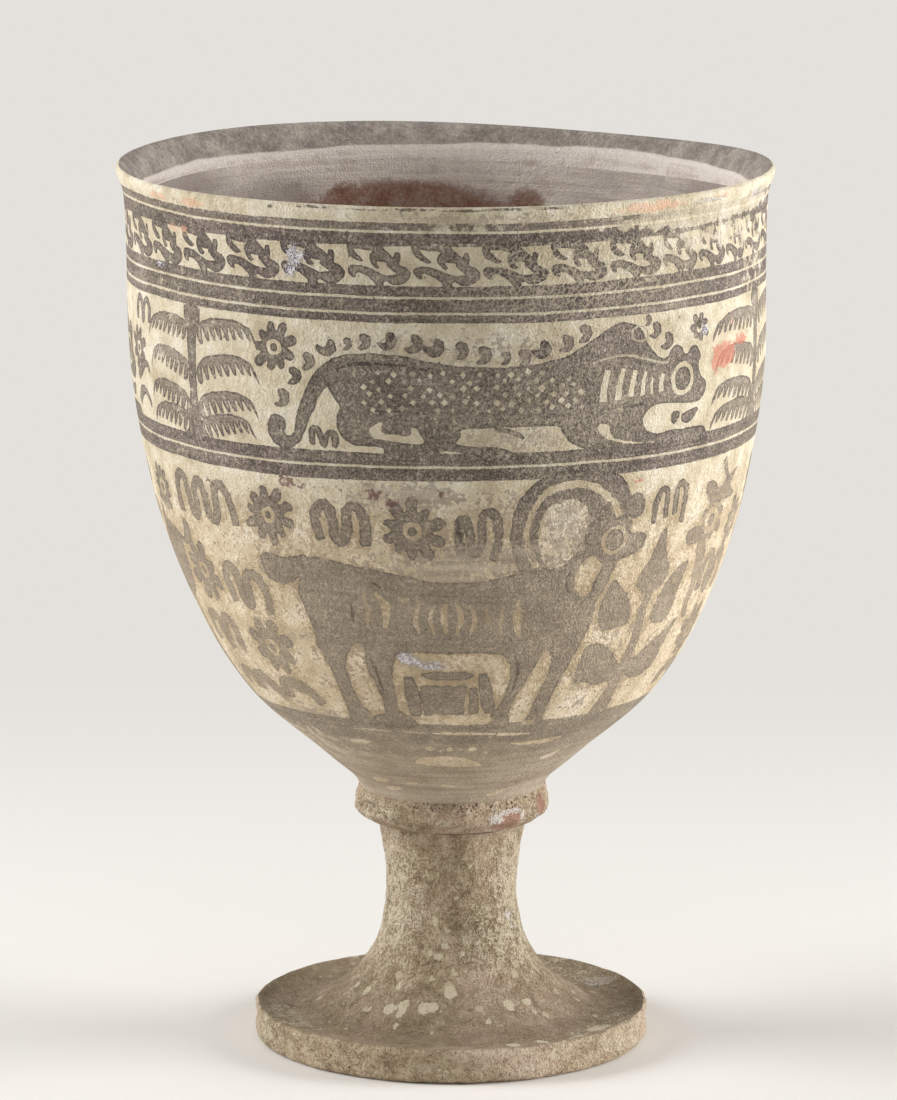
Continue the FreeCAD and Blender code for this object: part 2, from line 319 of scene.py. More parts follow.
def comma(angle, height, size, lean):
    """One comma stroke, leaning by lean degrees."""
    scale = mm_per_degree(height)
    turn = math.radians(lean)
    line = []
    for x, y, width in COMMA:
        x, y = x * math.cos(turn) - y * math.sin(turn), x * math.sin(turn) + y * math.cos(turn)
        line.append((angle + x * size / scale, height + y * size))
    draw_line(line, [width * size for x, y, width in COMMA], comma_brush.uniform(0.75, 1.12))


# %% [markdown]
# ## The vine under the rim
# One leaf of the vine is drawn once, with its hanging blade, and repeated all the way round.

# %% Vine border
VINE_STARTS = [-85, -74, -63.2, -52.6, -41.1, -29.5, -17.1, -5.7, 6.2, 18, 29, 40.5, 49.5, 58, 66]
VINE_STARTS += [76 + 11.7 * i for i in range(17)]
VINE_LENGTH = 11.4
VINE_LEAF_START = -17.1
VINE_BLADE = (
    (-17.1, 239.6), (-17, 237.3), (-16.4, 236), (-15.5, 235.15), (-14.6, 234.85), (-14.15, 235.15),
    (-14.7, 235.85), (-15.5, 236.75), (-16, 237.6), (-16.2, 239.6),
)
VINE_LEAF = (
    (-16.3, 239.7), (-16.1, 238.5), (-14.3, 238.2), (-12.6, 237.7), (-13.05, 236.9), (-13.15, 235.9),
    (-13, 234.9), (-12.4, 233.5), (-11.75, 233.05), (-11.4, 233.5), (-11.85, 234.2), (-12, 235),
    (-10.9, 235.05), (-10.1, 234.8), (-10.15, 233.9), (-9.4, 232.9), (-8.5, 231.75), (-9.4, 231.4),
    (-10.8, 231.5), (-12.4, 232.5), (-13.95, 233.4), (-15.5, 233.8), (-16.6, 233.7), (-17.05, 232.9),
    (-16.9, 231.9), (-16.2, 230.6), (-15.6, 230.6), (-15.8, 231.5), (-15.3, 232), (-14.25, 231.55),
    (-13.3, 230.6), (-12.4, 229.4), (-11.9, 227.6), (-10.8, 227.6), (-10.9, 229.4), (-10.3, 229.8),
    (-9.7, 229.2), (-8.5, 228.8), (-7.15, 229.5), (-6.3, 230.9), (-6.2, 232.1), (-7, 233.4), (-8.1, 234.1),
    (-8, 235.85), (-8.2, 237.6), (-8.75, 237.6), (-9.1, 236.1), (-10, 237.6), (-10.9, 238.6),
    (-11.2, 239.7),
)
brush = random.Random(5)
for start, following in zip(VINE_STARTS, VINE_STARTS[1:] + [VINE_STARTS[0] + 360]):
    tone = brush.uniform(0.84, 1.08)
    stretch = min(1.1, (following - start) / VINE_LENGTH)
    for part in (VINE_BLADE, VINE_LEAF):
        loop = [(start + (a - VINE_LEAF_START) * stretch, z) for a, z in part]
        paint(shape(loop, 0.24 if start < -20 else 0.12), tone)
print("vine leaves:", len(VINE_STARTS))

# %% [markdown]
# ## Palms
# Each palm has a straight trunk and four pairs of drooping fronds. A frond is an arch with a comb of leaflets
# that hang from it and point outward.

# %% Palms
PALM_FRONDS = (
    ((-1.4, 213.3), (-7.2, 215.2), (-15.3, 208.6)), ((1.4, 212.6), (9.2, 216.5), (16, 209.6)),
    ((-1, 201.6), (-9.2, 206), (-14.5, 199.6)), ((1.2, 201.2), (10.2, 206.7), (16.2, 199.9)),
    ((-0.9, 191.4), (-9.3, 196.5), (-15.1, 191.3)), ((1.2, 191.6), (10.4, 196.7), (15.8, 190.4)),
    ((-0.8, 186), (-7.2, 190.3), (-15.1, 184.6)), ((1.3, 185.6), (10.3, 190.4), (14.8, 184.7)),
)


def frond(start, top, tip, leaflets=9, body=2.5, hang=4.3):
    """A comb-edged arch. Its upper edge is two quarter ellipses, and the lower drops into each leaflet."""
    way = 1 if tip[0] > start[0] else -1

    def arch(share):
        angle = start[0] + (tip[0] - start[0]) * share
        foot = start if (angle - top[0]) * way < 0 else tip
        along = (angle - top[0]) / (foot[0] - top[0])
        return angle, foot[1] + (top[1] - foot[1]) * math.sqrt(max(0, 1 - along**2.1))

    upper = [arch(i / 12) for i in range(13)]
    lower = []
    for i in range(leaflets):
        for part, drop in ((0, 0.45), (0.3, 1), (0.62, 1), (0.8, 0)):
            share = (i + part) / leaflets
            angle, height = arch(min(1, share))
            depth = body * math.sin(math.pi * min(0.93, share + 0.1)) ** 0.6
            lower.append((angle + way * 0.75 * drop, height - depth - hang * drop * (1 - 0.4 * share)))
    paint(shape(upper + lower[::-1]), 0.78)


def palm(angle, spread):
    """A trunk and its fronds. spread widens them."""
    trunk = ((-2.1, 218.4), (1.9, 218.4), (2.1, 214.5), (1.3, 211), (1.15, 200), (1.3, 190), (2.4, 185),
             (3.6, 181.6), (-3.8, 181.6), (-1.9, 185.5), (-1.2, 190), (-1.1, 200), (-1.4, 211), (-2.2, 214.5))
    fill_shape(trunk, 0.9, angle)
    for start, top, tip in PALM_FRONDS:
        frond(*((a * spread + angle, z) for a, z in (start, top, tip)))


for angle, spread in ((-50.6, 1), (71.9, 1.18), (186.2, 0.74)):
    palm(angle, spread)
print("shapes drawn so far:", len(drawing))

# %% [markdown]
# ## The prowling cat
# The cat is one long outline, nose to rump, with a raised tail. Its mouth, flank dots, neck bars and eye are
# left in bare slip, so they are drawn over it with no paint.

# %% Cats
CAT_BODY = (
    (-20.6, 207.8), (-19, 209.2), (-16, 210), (-12, 210.3), (-7, 209.6), (-3, 208.4), (1, 207.4),
    (6, 206.8), (10, 206.6), (14.9, 207.2), (18.7, 208.3), (21.4, 209.3), (23.3, 210.8), (25.3, 212.5),
    (27.6, 214.6), (29.9, 216.3), (32.2, 216.9), (34.5, 215.9), (36, 214), (36.8, 211.4), (38, 209),
    (39.5, 206.7), (41.1, 205.6), (41.9, 206), (42.5, 207.8), (44.1, 208.9), (45.3, 207.8), (46, 206),
    (46.8, 206.2), (47.6, 207.7), (48.8, 208.1), (49.9, 206.7), (50.3, 204.6), (49.8, 202.2), (50.4, 199.6),
    (51.8, 197.6), (51.9, 195), (50.6, 192.6), (48, 192.2), (44, 192.9), (39.9, 193.2), (37.8, 192.2),
    (36.6, 190.2), (36.9, 187.6), (38.4, 185.8), (40.7, 185.2), (43, 185.6), (46, 185.4), (49, 185.5),
    (52.4, 184.8), (52.6, 181), (42, 180.6), (29.1, 180.6), (26.8, 182.3), (24.1, 183.6), (21.8, 185.2),
    (20.4, 187.8), (19.3, 190), (14, 190.3), (8, 190.2), (2.6, 189.9), (2.2, 187.8), (1.4, 186.1),
    (3.6, 185.4), (8, 184.9), (10.8, 183.9), (12.2, 181.4), (4, 180.9), (-9, 180.9), (-11.3, 182.2),
    (-11.4, 184.5), (-14.7, 184.8), (-16.6, 185), (-18.5, 186.9), (-19.6, 189.6), (-19.6, 193), (-19, 195),
    (-19.3, 196.5), (-20.2, 198.3), (-20.9, 200.6), (-21.4, 204),
)
CAT_TAIL = (
    (-20.4, 207.8), (-22.4, 205.9), (-24, 203.1), (-25.3, 199), (-26.5, 195), (-27.4, 190.8),
    (-27.9, 187.8), (-28.6, 186.6), (-29.3, 186.6), (-29.6, 187.4), (-29.3, 189), (-29.6, 191.2),
    (-30.6, 192.1), (-32.2, 191.6), (-33.2, 189), (-32.8, 186.1), (-31.7, 183.7), (-30.1, 182.6),
    (-28.6, 183), (-27, 184.6), (-25.9, 187), (-24.7, 191.4), (-23.7, 194.4), (-22.4, 198.4),
    (-21.2, 200.4), (-19.6, 201.5), (-18.8, 206),
)
CAT_WINDOWS = (
    ((-11.8, 191.6), (-13.3, 190.3), (-13.9, 188.7), (-12.8, 187.2), (-10.1, 186.6), (-7, 186.1),
     (-4.8, 185.9), (-4.2, 187), (-4.9, 188.6), (-5.7, 190.4), (-6.5, 190.3), (-6.4, 188.7), (-7.4, 188),
     (-9.2, 188.5), (-10.9, 188.2), (-11.7, 189.6), (-11.3, 191.4)),
    ((-1.9, 183.2), (-0.1, 184), (2.3, 183.3), (3.8, 182.2), (1, 182.3), (-1.6, 182.3)),
    ((27, 188.7), (27.6, 189.6), (28.7, 189.7), (29.5, 188.7), (29.6, 187), (30.8, 185.4), (33.7, 184.1),
     (36.8, 183.2), (40, 182.9), (42, 182), (38.6, 181.8), (36.8, 182.5), (33.7, 183.4), (30.6, 184.5),
     (28.7, 185.6), (27.9, 187)),
)
CAT_NECK_BARS = (
    (28.8, 204.4, 27.9, 195.7, 1.9), (32, 204.3, 30.9, 195.9, 1.8), (34.6, 203.4, 33.7, 196.4, 1.6),
    (36.7, 202.7, 36.2, 196.4, 1.4), (38.3, 200.8, 38.3, 196.4, 0.8), (40.8, 201.6, 40.4, 196.7, 1.5),
)
CAT_DARK_LINES = (
    ((-19.6, 205.6), (-16.5, 207), (-12, 207.5), (-6.5, 207)), ((-5.6, 206.6), (-4.2, 206.2), (-2.6, 206.6)),
    ((29.6, 207.8), (33, 207), (36, 205.2), (39, 204.4)), ((-14, 195), (-11, 194.6), (-9.8, 195.6)),
    ((13.6, 191.2), (16, 190.6), (20, 191.2)), ((32, 193.4), (34.8, 193.9), (37.4, 193.8)),
    ((22.4, 205), (21.6, 200), (22.6, 195)), ((5, 183.6), (7, 184.6), (9.2, 183.8)),
)
CAT_PALE_LINES = (
    ((25.6, 206.4), (29, 207.6), (33.2, 207.7), (36.6, 206.2), (39.4, 205), (42, 204.2)),
    ((33.8, 214.6), (35.4, 215.4), (37, 214), (36.8, 211.8), (35.2, 211.2), (33.8, 212.6), (33.8, 214.6)),
)
CAT_TONGUE = (
    ((43.2, 190.2), (44.1, 190.7), (45.2, 190.2), (45, 188.4), (43.9, 187), (43.2, 188)),
    ((45.6, 189.2), (47.2, 190.1), (49.6, 190.9), (50.2, 190.2), (48.4, 187.2), (46.3, 187)),
)
CAT_COMMAS = (
    (-29.8, 196.7, 1.15, -15), (-27.3, 203, 1.1, -5), (-24.7, 207.3, 1.05, 0), (-21, 211.3, 1.2, -60),
    (-17.4, 212.5, 0.8, 0), (-14.4, 213.3, 1, -8), (-10.2, 213.7, 1.15, -40), (-5.6, 213, 1.15, -25),
    (-2.2, 212.1, 1.25, -60), (2.4, 211.4, 1.05, 5), (6.2, 210, 1.1, -5), (10, 209.3, 0.8, 5),
    (13.2, 209.2, 1, 10), (16.4, 211.1, 1.15, -45), (20.8, 212.4, 1.1, -10), (24.2, 214.8, 1.1, 0),
    (37.2, 216.7, 0.7, 0), (38.9, 213.7, 1, -20), (41.7, 210.5, 1.1, -20),
)


def cat(turn):
    """One cat with the commas over its back, moved round the pot by turn degrees."""
    tone = 0.97
    fill_shape(CAT_BODY, tone, turn)
    fill_shape(CAT_TAIL, tone, turn)
    for window in CAT_WINDOWS:
        fill_shape(window, 0, turn)
    for tongue in CAT_TONGUE:
        fill_shape(tongue, tone, turn)
    for line in CAT_DARK_LINES:
        draw_line(line, [0.3] + [0.9] * (len(line) - 2) + [0.3], 1.3, turn)
    for a0, z0, a1, z1, width in CAT_NECK_BARS:
        middle = ((a0 + a1) / 2 - 0.25, (z0 + z1) / 2)
        widths = (width * 0.8, width, width * 1.15)
        draw_line(((a0, z0), middle, (a1, z1)), widths, 0, turn, ends=1)
    draw_rings(45.6 + turn, 199.4, 1.5, 1.07, ((4.3, 0.02), (3.05, tone), (1, 0.75)))
    for line in CAT_PALE_LINES:
        draw_line(line, 0.62, 0.4, turn)
    hook = ((8, 189.9), (11.5, 188.8), (13.4, 187))
    draw_line(hook, (1.6, 1.5, 1.1), tone, turn)
    humps(((-24.4, 184.4), (-24.2, 188.3), (-23.3, 189.1), (-22.6, 186.5), (-22.2, 184.4), (-21.5, 187.4),
           (-20.6, 188.2), (-19.9, 186.4), (-20.3, 184)), 2.2, turn=turn)
    for angle, height, size, lean in CAT_COMMAS:
        comma(angle + turn, height, size, lean)
    dots = random.Random(11)
    for row in range(6):
        for column in range(14):
            angle = -14.5 + column * 2.85 + (row % 2) * 1.4 + dots.uniform(-0.5, 0.5)
            height = 204.9 - row * 1.95 + dots.uniform(-0.4, 0.4)
            fill = dots.choice((0, 0.1, 0.25, 0.45))
            if dots.random() < 0.14 or angle > 24.5:
                continue
            size = dots.uniform(0.65, 1)
            lozenge = (
                (angle, height + size), (angle + size / 1.6, height + 0.15),
                (angle + 0.1, height - size), (angle - size / 1.5, height))
            paint([(a * FLAT_PER_DEGREE, z) for a, z in moved(lozenge, turn)], fill)


for turn in (0, 121.5, -128):
    cat(turn)
for angle, height, size, petals, eye in (
    (-31.3, 210.3, 6.3, 9, 2.2), (50, 212.6, 3.6, 7, 1.3), (-72, 202.3, 5.6, 8, 2),
    (90.5, 210.3, 6, 9, 2.2), (-160, 210.3, 6, 9, 2.2),
):
    rosette(angle, height, size, petals, eye)
humps(((-72.2, 210.3), (-72, 215), (-70.8, 216.8), (-69.3, 215), (-69, 210.6), (-68.2, 215), (-67, 216.6),
       (-65.8, 214.8), (-65.7, 210.4)), 2.2)
humps(((-73.5, 194), (-71.5, 196), (-69.2, 198.5), (-67.2, 198.3), (-66.6, 196.4)), (2.5, 3.4, 3, 2, 1.2))
humps(((-74.5, 186.5), (-72, 190.2), (-69.3, 190.4), (-67.6, 188.2), (-67.4, 186.6)), (3, 3.2, 2.4, 1.6, 1))
print("shapes drawn so far:", len(drawing))

# %% [markdown]
# ## The ibex and its plants
# The ibex stands on the ground line with long ringed horns swept over its back. In front of it grows a plant
# of pointed leaves, and between its legs stands a small comb-like altar.

# %% Ibexes
IBEX_BODY = (
    (-39.3, 149), (-38.7, 151.4), (-36.8, 152.4), (-34, 151.6), (-31.8, 151.9), (-29.5, 152.7),
    (-26, 152.7), (-20, 151.3), (-15, 150), (-10, 148.8), (-5, 147.4), (0, 146.6), (5, 147), (10, 147.7),
    (14, 149), (17, 149.6), (20, 150.2), (22.5, 151.6), (24.6, 153.6), (26.4, 156.8), (27.3, 160),
    (28.4, 163.6), (30.4, 165.2), (31.5, 169), (33.3, 168.2), (34.6, 164.4), (35.8, 161), (36.4, 158),
    (39.6, 157.2), (40.4, 155.2), (39.4, 152.4), (37, 151.2), (35.4, 150.8), (34.2, 149.4), (33.6, 146.8),
    (32.7, 143), (31.4, 139.5), (31.2, 135), (30.6, 130.6), (29.6, 126), (28.5, 122.5), (26.9, 116),
    (25.7, 111), (25.4, 105.5), (25.6, 101.5), (20.6, 101.5), (21, 105.5), (21.5, 111), (22.6, 116),
    (23, 120), (22.2, 124.4), (20.8, 124.6), (19.6, 121), (17.4, 115), (15.8, 110), (15.2, 106.5),
    (15.4, 101.5), (9.6, 101.5), (10.8, 106.5), (12.6, 110), (13.6, 115), (13.6, 120), (12, 124.4),
    (8, 125.2), (0, 125.4), (-8, 125.4), (-11.6, 124.9), (-12.4, 122.6), (-13.3, 119), (-13.4, 113),
    (-13.5, 107.5), (-10, 104.5), (-10, 101.5), (-21, 101.5), (-20.4, 104.8), (-17.4, 106.5), (-17.3, 111),
    (-18.2, 116), (-19.4, 120.5), (-19, 126.6), (-20.6, 127.8), (-22.4, 125.6), (-24.2, 121), (-24.3, 116),
    (-23.6, 110), (-21.6, 105.6), (-21.2, 102), (-28.2, 102), (-27.8, 107), (-28.2, 114), (-28.8, 120),
    (-30.4, 126), (-30.2, 131), (-31, 137), (-31.6, 142), (-31, 145.6), (-33, 144), (-36, 143.4),
    (-38.4, 145.2),
)
IBEX_HEAD = (
    (26, 150.4), (26.6, 155), (26.8, 159), (28, 163), (30.4, 164.2), (32.4, 162.6), (34.4, 163.4),
    (36.4, 161.2), (36.2, 158), (39.4, 157.4), (40.3, 155.2), (39.4, 152.4), (36.4, 151), (34.4, 150.2),
    (31.4, 150.6), (28.6, 152.8),
)
IBEX_EAR = (
    (34.8, 166.6), (35.8, 168.8), (37.6, 168.9), (38.9, 166.6), (38.7, 163.4), (37, 161.8), (35.2, 163),
)
IBEX_THROAT = (
    (26.6, 152.2), (28.2, 152.9), (29.6, 151.4), (30.8, 148.4), (30.2, 144.8), (29, 141.6), (27.8, 140.4),
    (26.3, 142.2), (25.1, 144.6), (25.4, 147.6), (26, 150),
)
IBEX_RIBS = (
    ((-17.8, 143), (-16.8, 138), (-17.6, 132.8), 1.7, 0.35),
    ((-14.9, 143.4), (-13, 138.6), (-13.7, 132.8), 2.5, 0),
    ((-10.6, 141.9), (-9.3, 141), (-8, 142), 1.5, 0.2), ((-6.2, 140.2), (-7.1, 135.6), (-6.5, 131), 1.6, 0.1),
    ((-3.2, 140), (-4, 135.6), (-3.2, 131), 1.5, 0.05),
    ((-0.9, 140.4), (-1.3, 136), (-0.7, 131.2), 2.2, 0.05),
    ((1.3, 140.4), (2.3, 136), (1.1, 131), 1.9, 0), ((4, 140.2), (5, 135.8), (4.1, 131), 1.6, 0.1),
    ((7.2, 138.6), (7.8, 136), (7.2, 133.4), 1.2, 0.45), ((11, 139.4), (10.4, 134.6), (11, 130), 1.3, 0.4),
    ((14, 141), (13.8, 135.6), (14.7, 129.8), 2.2, 0.12),
)
THIRDS = (0, 120, -120)
LEAVES = (
    ((34.4, 144.6), (36.6, 142.2), (40.2, 137.2), (41.1, 131.2), (38, 129.6), (34, 129.8), (32.6, 133.5),
     (32.4, 138.5)),
    ((45.4, 157.8), (47, 150.8), (49.6, 144.6), (48.2, 140.4), (45.8, 138.8), (43, 139.4), (40.6, 142.6),
     (42.8, 149.8)),
    ((56, 145.6), (55, 137), (54.6, 130), (51.5, 128.4), (48.4, 129.8), (48, 135), (49.7, 140.6),
     (52.5, 144.6)),
    ((30.8, 122.8), (32.6, 125.8), (36.5, 124.6), (40.4, 120.8), (43, 117.6), (43.6, 113.6), (38, 112.3),
     (33.9, 113.7), (30.6, 115)),
    ((59.6, 128.2), (58, 123.5), (57.3, 115.3), (54, 112.2), (49.5, 112.6), (46.6, 114.4), (46.4, 118.6),
     (48.4, 119.6), (52, 122.5), (56, 125.9)),
)
STEM = (
    (44.4, 140.5), (43.4, 134), (43.8, 126), (43.2, 119), (42.6, 110), (41.4, 101.5), (48, 101.5),
    (46.8, 110), (46.6, 118), (46.3, 126), (45.8, 134), (46, 140.5),
)
ALTAR = (
    ((-7, 115.2), (-7.2, 110.5), (-6.9, 106), (-5.6, 105.4), (-4.2, 106.6), (-2.6, 105.2), (-0.8, 106.2),
     (0.6, 105.4), (2.2, 106.4), (3.2, 106), (3.3, 110), (3.8, 114.8), (0, 115.4)),
    ((-7, 118.5), (-4.8, 119.7), (0, 119.9), (4, 119.6), (5.4, 118.4), (3.4, 117.3), (0, 117),
     (-4.4, 117.2)),
)
HORN_OUTSIDE = (
    (13.6, 149.6), (12.6, 152.5), (11.8, 156), (11.3, 160), (11.7, 164.5), (12.6, 168.5), (14, 172),
    (16.5, 175.2), (22, 177), (28, 176.8), (32, 175.2), (34.1, 172.4), (35.4, 168.5), (35.6, 164.5),
    (34, 161), (30, 158), (24, 150.8), (18, 149),
)
HORN_GAP = (
    (17.2, 149.8), (15.6, 151.6), (14.4, 155.5), (13.9, 160), (14.6, 165), (16.2, 170), (18.5, 173.1),
    (23.2, 174.6), (26.5, 173.7), (29, 172), (31.9, 168), (33.8, 163.8), (32.9, 162.8), (31.1, 166.6),
    (28.7, 169.7), (26.2, 171.6), (23.4, 172.4), (19.7, 171.6), (17.6, 169.6), (15.7, 165), (15.1, 160),
    (15.8, 155.5), (16.9, 152.2), (18, 150.4),
)
HORN_OVAL = (
    (16.7, 160), (17.5, 165), (19.5, 168.1), (22.7, 169.2), (25.2, 167.7), (26.6, 165), (26.3, 160),
    (24.9, 155), (23.7, 152), (21.5, 149.9), (19.3, 150), (17.8, 153), (17, 156.5),
)
IBEX_DARK_LINES = (
    ((-20.4, 140), (-20.2, 136.5), (-20.4, 133.4)), ((-16.4, 146.4), (-14.6, 145.6), (-13.4, 144.4)),
    ((24, 148.6), (23.6, 145), (24.6, 141.8)), ((31, 149), (29.8, 144), (29.2, 139.6)),
    ((-18.2, 124.6), (-17, 118), (-16.4, 112)), ((14.4, 124.6), (15.6, 118), (14.4, 112)),
)


def ibex(turn):
    """One ibex: body, ribs, dark lines, horns, head and eye."""
    tone = 0.93
    fill_shape(IBEX_BODY, tone, turn)
    fill_shape(IBEX_THROAT, 0.06, turn)
    for top, middle, low, width, fill in IBEX_RIBS:
        draw_line((top, middle, low), (width * 0.35, width, width * 0.35), fill, turn)
    for line in IBEX_DARK_LINES:
        draw_line(line, (0.3, 0.9, 0.3), 1.25, turn)
    for loop, fill in ((HORN_OUTSIDE, 0.97), (HORN_GAP, 0.04), (HORN_OVAL, 0.06)):
        fill_shape(loop, fill, turn)
    for loop in (IBEX_HEAD, IBEX_EAR):
        fill_shape(loop, tone, turn)
    draw_rings(32.8 + turn, 156.4, 1.46, 1, ((4.2, 0.12), (3.15, tone), (1.2, 0.7)))


def plant(turn, leaves):
    """The plant in front of the ibex, with those leaves."""
    fill_shape(STEM, 0.78, turn)
    for leaf in leaves:
        fill_shape(leaf, 0.86, turn)


def altar(turn):
    """The comb-like altar between the ibex's legs, and the strokes beside it."""
    for part in ALTAR:
        fill_shape(part, 0.9, turn)
    for line, width in (
        (((-9.9, 118), (-9.5, 114), (-9.2, 109), (-9.2, 105.2)), (2.6, 3.8, 4.2, 3.2)),
        (((7.4, 119), (8.2, 114), (9.2, 109.5), (10, 106.2)), (2.4, 3.6, 3.8, 3)),
        (((5.2, 115), (5.6, 110), (5.8, 106)), (2, 2.8, 2.4)),
    ):
        draw_line(line, width, 0.95, turn)


for turn in THIRDS:
    ibex(turn)
    altar(turn)
    plant(turn, LEAVES if turn >= 0 else LEAVES[:2] + LEAVES[3:4])
    rosette(-6.8 + turn, 161.2, 8, 10, eye=2.7)
    humps(((-24.6, 158), (-25.4, 164), (-24.2, 167.4), (-22.6, 167.4), (-21.9, 163), (-21.4, 158.4),
           (-20.2, 157.8), (-19.2, 161), (-19, 166), (-17.8, 168), (-16.2, 166), (-15.6, 162),
           (-15.9, 156.4)), 3.3, turn=turn)
    humps(((2, 154.6), (2, 164), (3.4, 164.6), (4.1, 157), (4.9, 154.8), (6, 157), (6.2, 165.4),
           (7.7, 166.4), (9, 164), (9.1, 157), (8, 152.8)), 2.8, turn=turn)
    draw_line(((1.6, 164.6), (1.8, 161), (2.6, 157.6)), (0.6, 1.2, 0.5), 1.3, turn)
    rosette(-35.3 + turn, 163.2, 7.4, 10, eye=2.3, turn=0.6)
rosette(-70.1, 163.6, 6.4, 11, eye=2.6, strength=0.9)
humps(((-61.2, 158.8), (-61.2, 166), (-60, 169.4), (-58.6, 170), (-57.4, 168.4), (-57, 161), (-56, 158.8),
       (-54.9, 160.6), (-54.5, 167.6), (-53.2, 169.6), (-51.8, 168), (-51.2, 160.6), (-50, 158.8),
       (-48.7, 160.6), (-48.1, 168), (-46.5, 169.8), (-44.9, 167.4), (-44.1, 163),
       (-43.8, 158.4)), 3.3, 0.85)
rosette(-60, 142.2, 7.4, 8, eye=2.4, strength=0.9)
rosette(-43.8, 122.9, 7.6, 8, eye=2.5, strength=0.8)
for turn in (0, -122, 115):
    humps(((-50.8, 135.2), (-51.4, 142), (-49.8, 145.6), (-47.9, 144.2), (-47.6, 137), (-46.2, 135),
           (-45.3, 137.6), (-45, 143), (-43, 144.8), (-41, 143.2), (-40, 139),
           (-40.5, 133.6)), 3.7, 0.85, turn)
humps(((-67.4, 120.4), (-67.6, 125.8), (-65.2, 128.2), (-62.6, 127), (-62.2, 121), (-61, 120.4),
       (-60, 126.6), (-58, 128.6), (-55.9, 126), (-56.6, 119.4)), 3.9, 0.75)
humps(((-65.4, 108.2), (-62.9, 112), (-59.6, 111), (-59.2, 107.4)), 4.2, 0.7)
humps(((-57.6, 107.4), (-57, 111.4), (-53.8, 112), (-51, 109.4), (-48.6, 106.8)), 4.2, 0.74)
for turn in (0, -128, 113):
    humps(((-45.8, 107.2), (-46, 110.8), (-43, 112.2), (-39.2, 111.2), (-36.6, 108.8),
           (-35.4, 106.4)), 4.2, 0.78, turn)
for angle, height, size, petals, eye, strength in (
    (-171, 163.4, 6.6, 10, 2.4, 0.9), (-169.5, 122.9, 7.2, 8, 2.5, 0.85), (177, 159.4, 5.6, 8, 2.2, 0.85),
    (73.5, 153.4, 6, 8, 2.2, 0.85), (70, 122.4, 6.8, 8, 2.4, 0.85),
):
    rosette(angle, height, size, petals, eye, strength)
paint(shape(((-76.5, 151.4), (-73, 153.6), (-69.6, 152.6), (-66.6, 150.6), (-67.2, 146), (-67.6, 140.8),
             (-69.2, 136), (-72, 132.4), (-76, 131.4), (-80, 135), (-81, 144))), 0.9)
paint(shape(((-67.6, 151.8), (-65.2, 150.6), (-63.8, 152.6), (-62.8, 156), (-61.4, 156.6), (-60.4, 154.6),
             (-61.2, 150.8), (-63.6, 148.6), (-66.4, 149.2))), 0.85)
for turn in (0, 120):
    humps(((41.7, 159.8), (41.9, 166), (43, 168.9), (44.4, 167.8), (44.6, 160.6)), 2.3, 0.95, turn)
    humps(((47.2, 161), (47, 167.6), (48.1, 169.8), (49.6, 167.6), (49.6, 158.4)), 2.4, 0.9, turn)
rosette(61, 156.3, 6.4, 8, eye=3.9, strength=0.8)
fill_shape(((52.6, 154.6), (55, 155.6), (58.4, 155.2), (58.4, 151.6), (55.2, 150.4), (52.8, 151.8)), 0.8)
paint(shape(((56.2, 167.6), (59, 168.2), (61.4, 165.4), (64, 167.4), (69.4, 169.6), (66.8, 165.4),
             (69.6, 162), (64, 161.2), (59.6, 161.4), (57.4, 163.6))), 0.7)
humps(((61.8, 173.6), (63.6, 169.4), (66.2, 166.2)), (2.4, 1.8, 1), 0.7)
paint(shape(((57.6, 150.6), (60.4, 151), (62.4, 144), (62, 134), (63.4, 128), (60.8, 129.4),
             (59.6, 138), (58.8, 145))), 0.7)

# %% [markdown]
# ## The worn wash under the ground line
# Below the ibexes the whole bowl was washed with thin paint while it turned. A row of dots, a crescent and a
# few brush breaks are left bare in it.

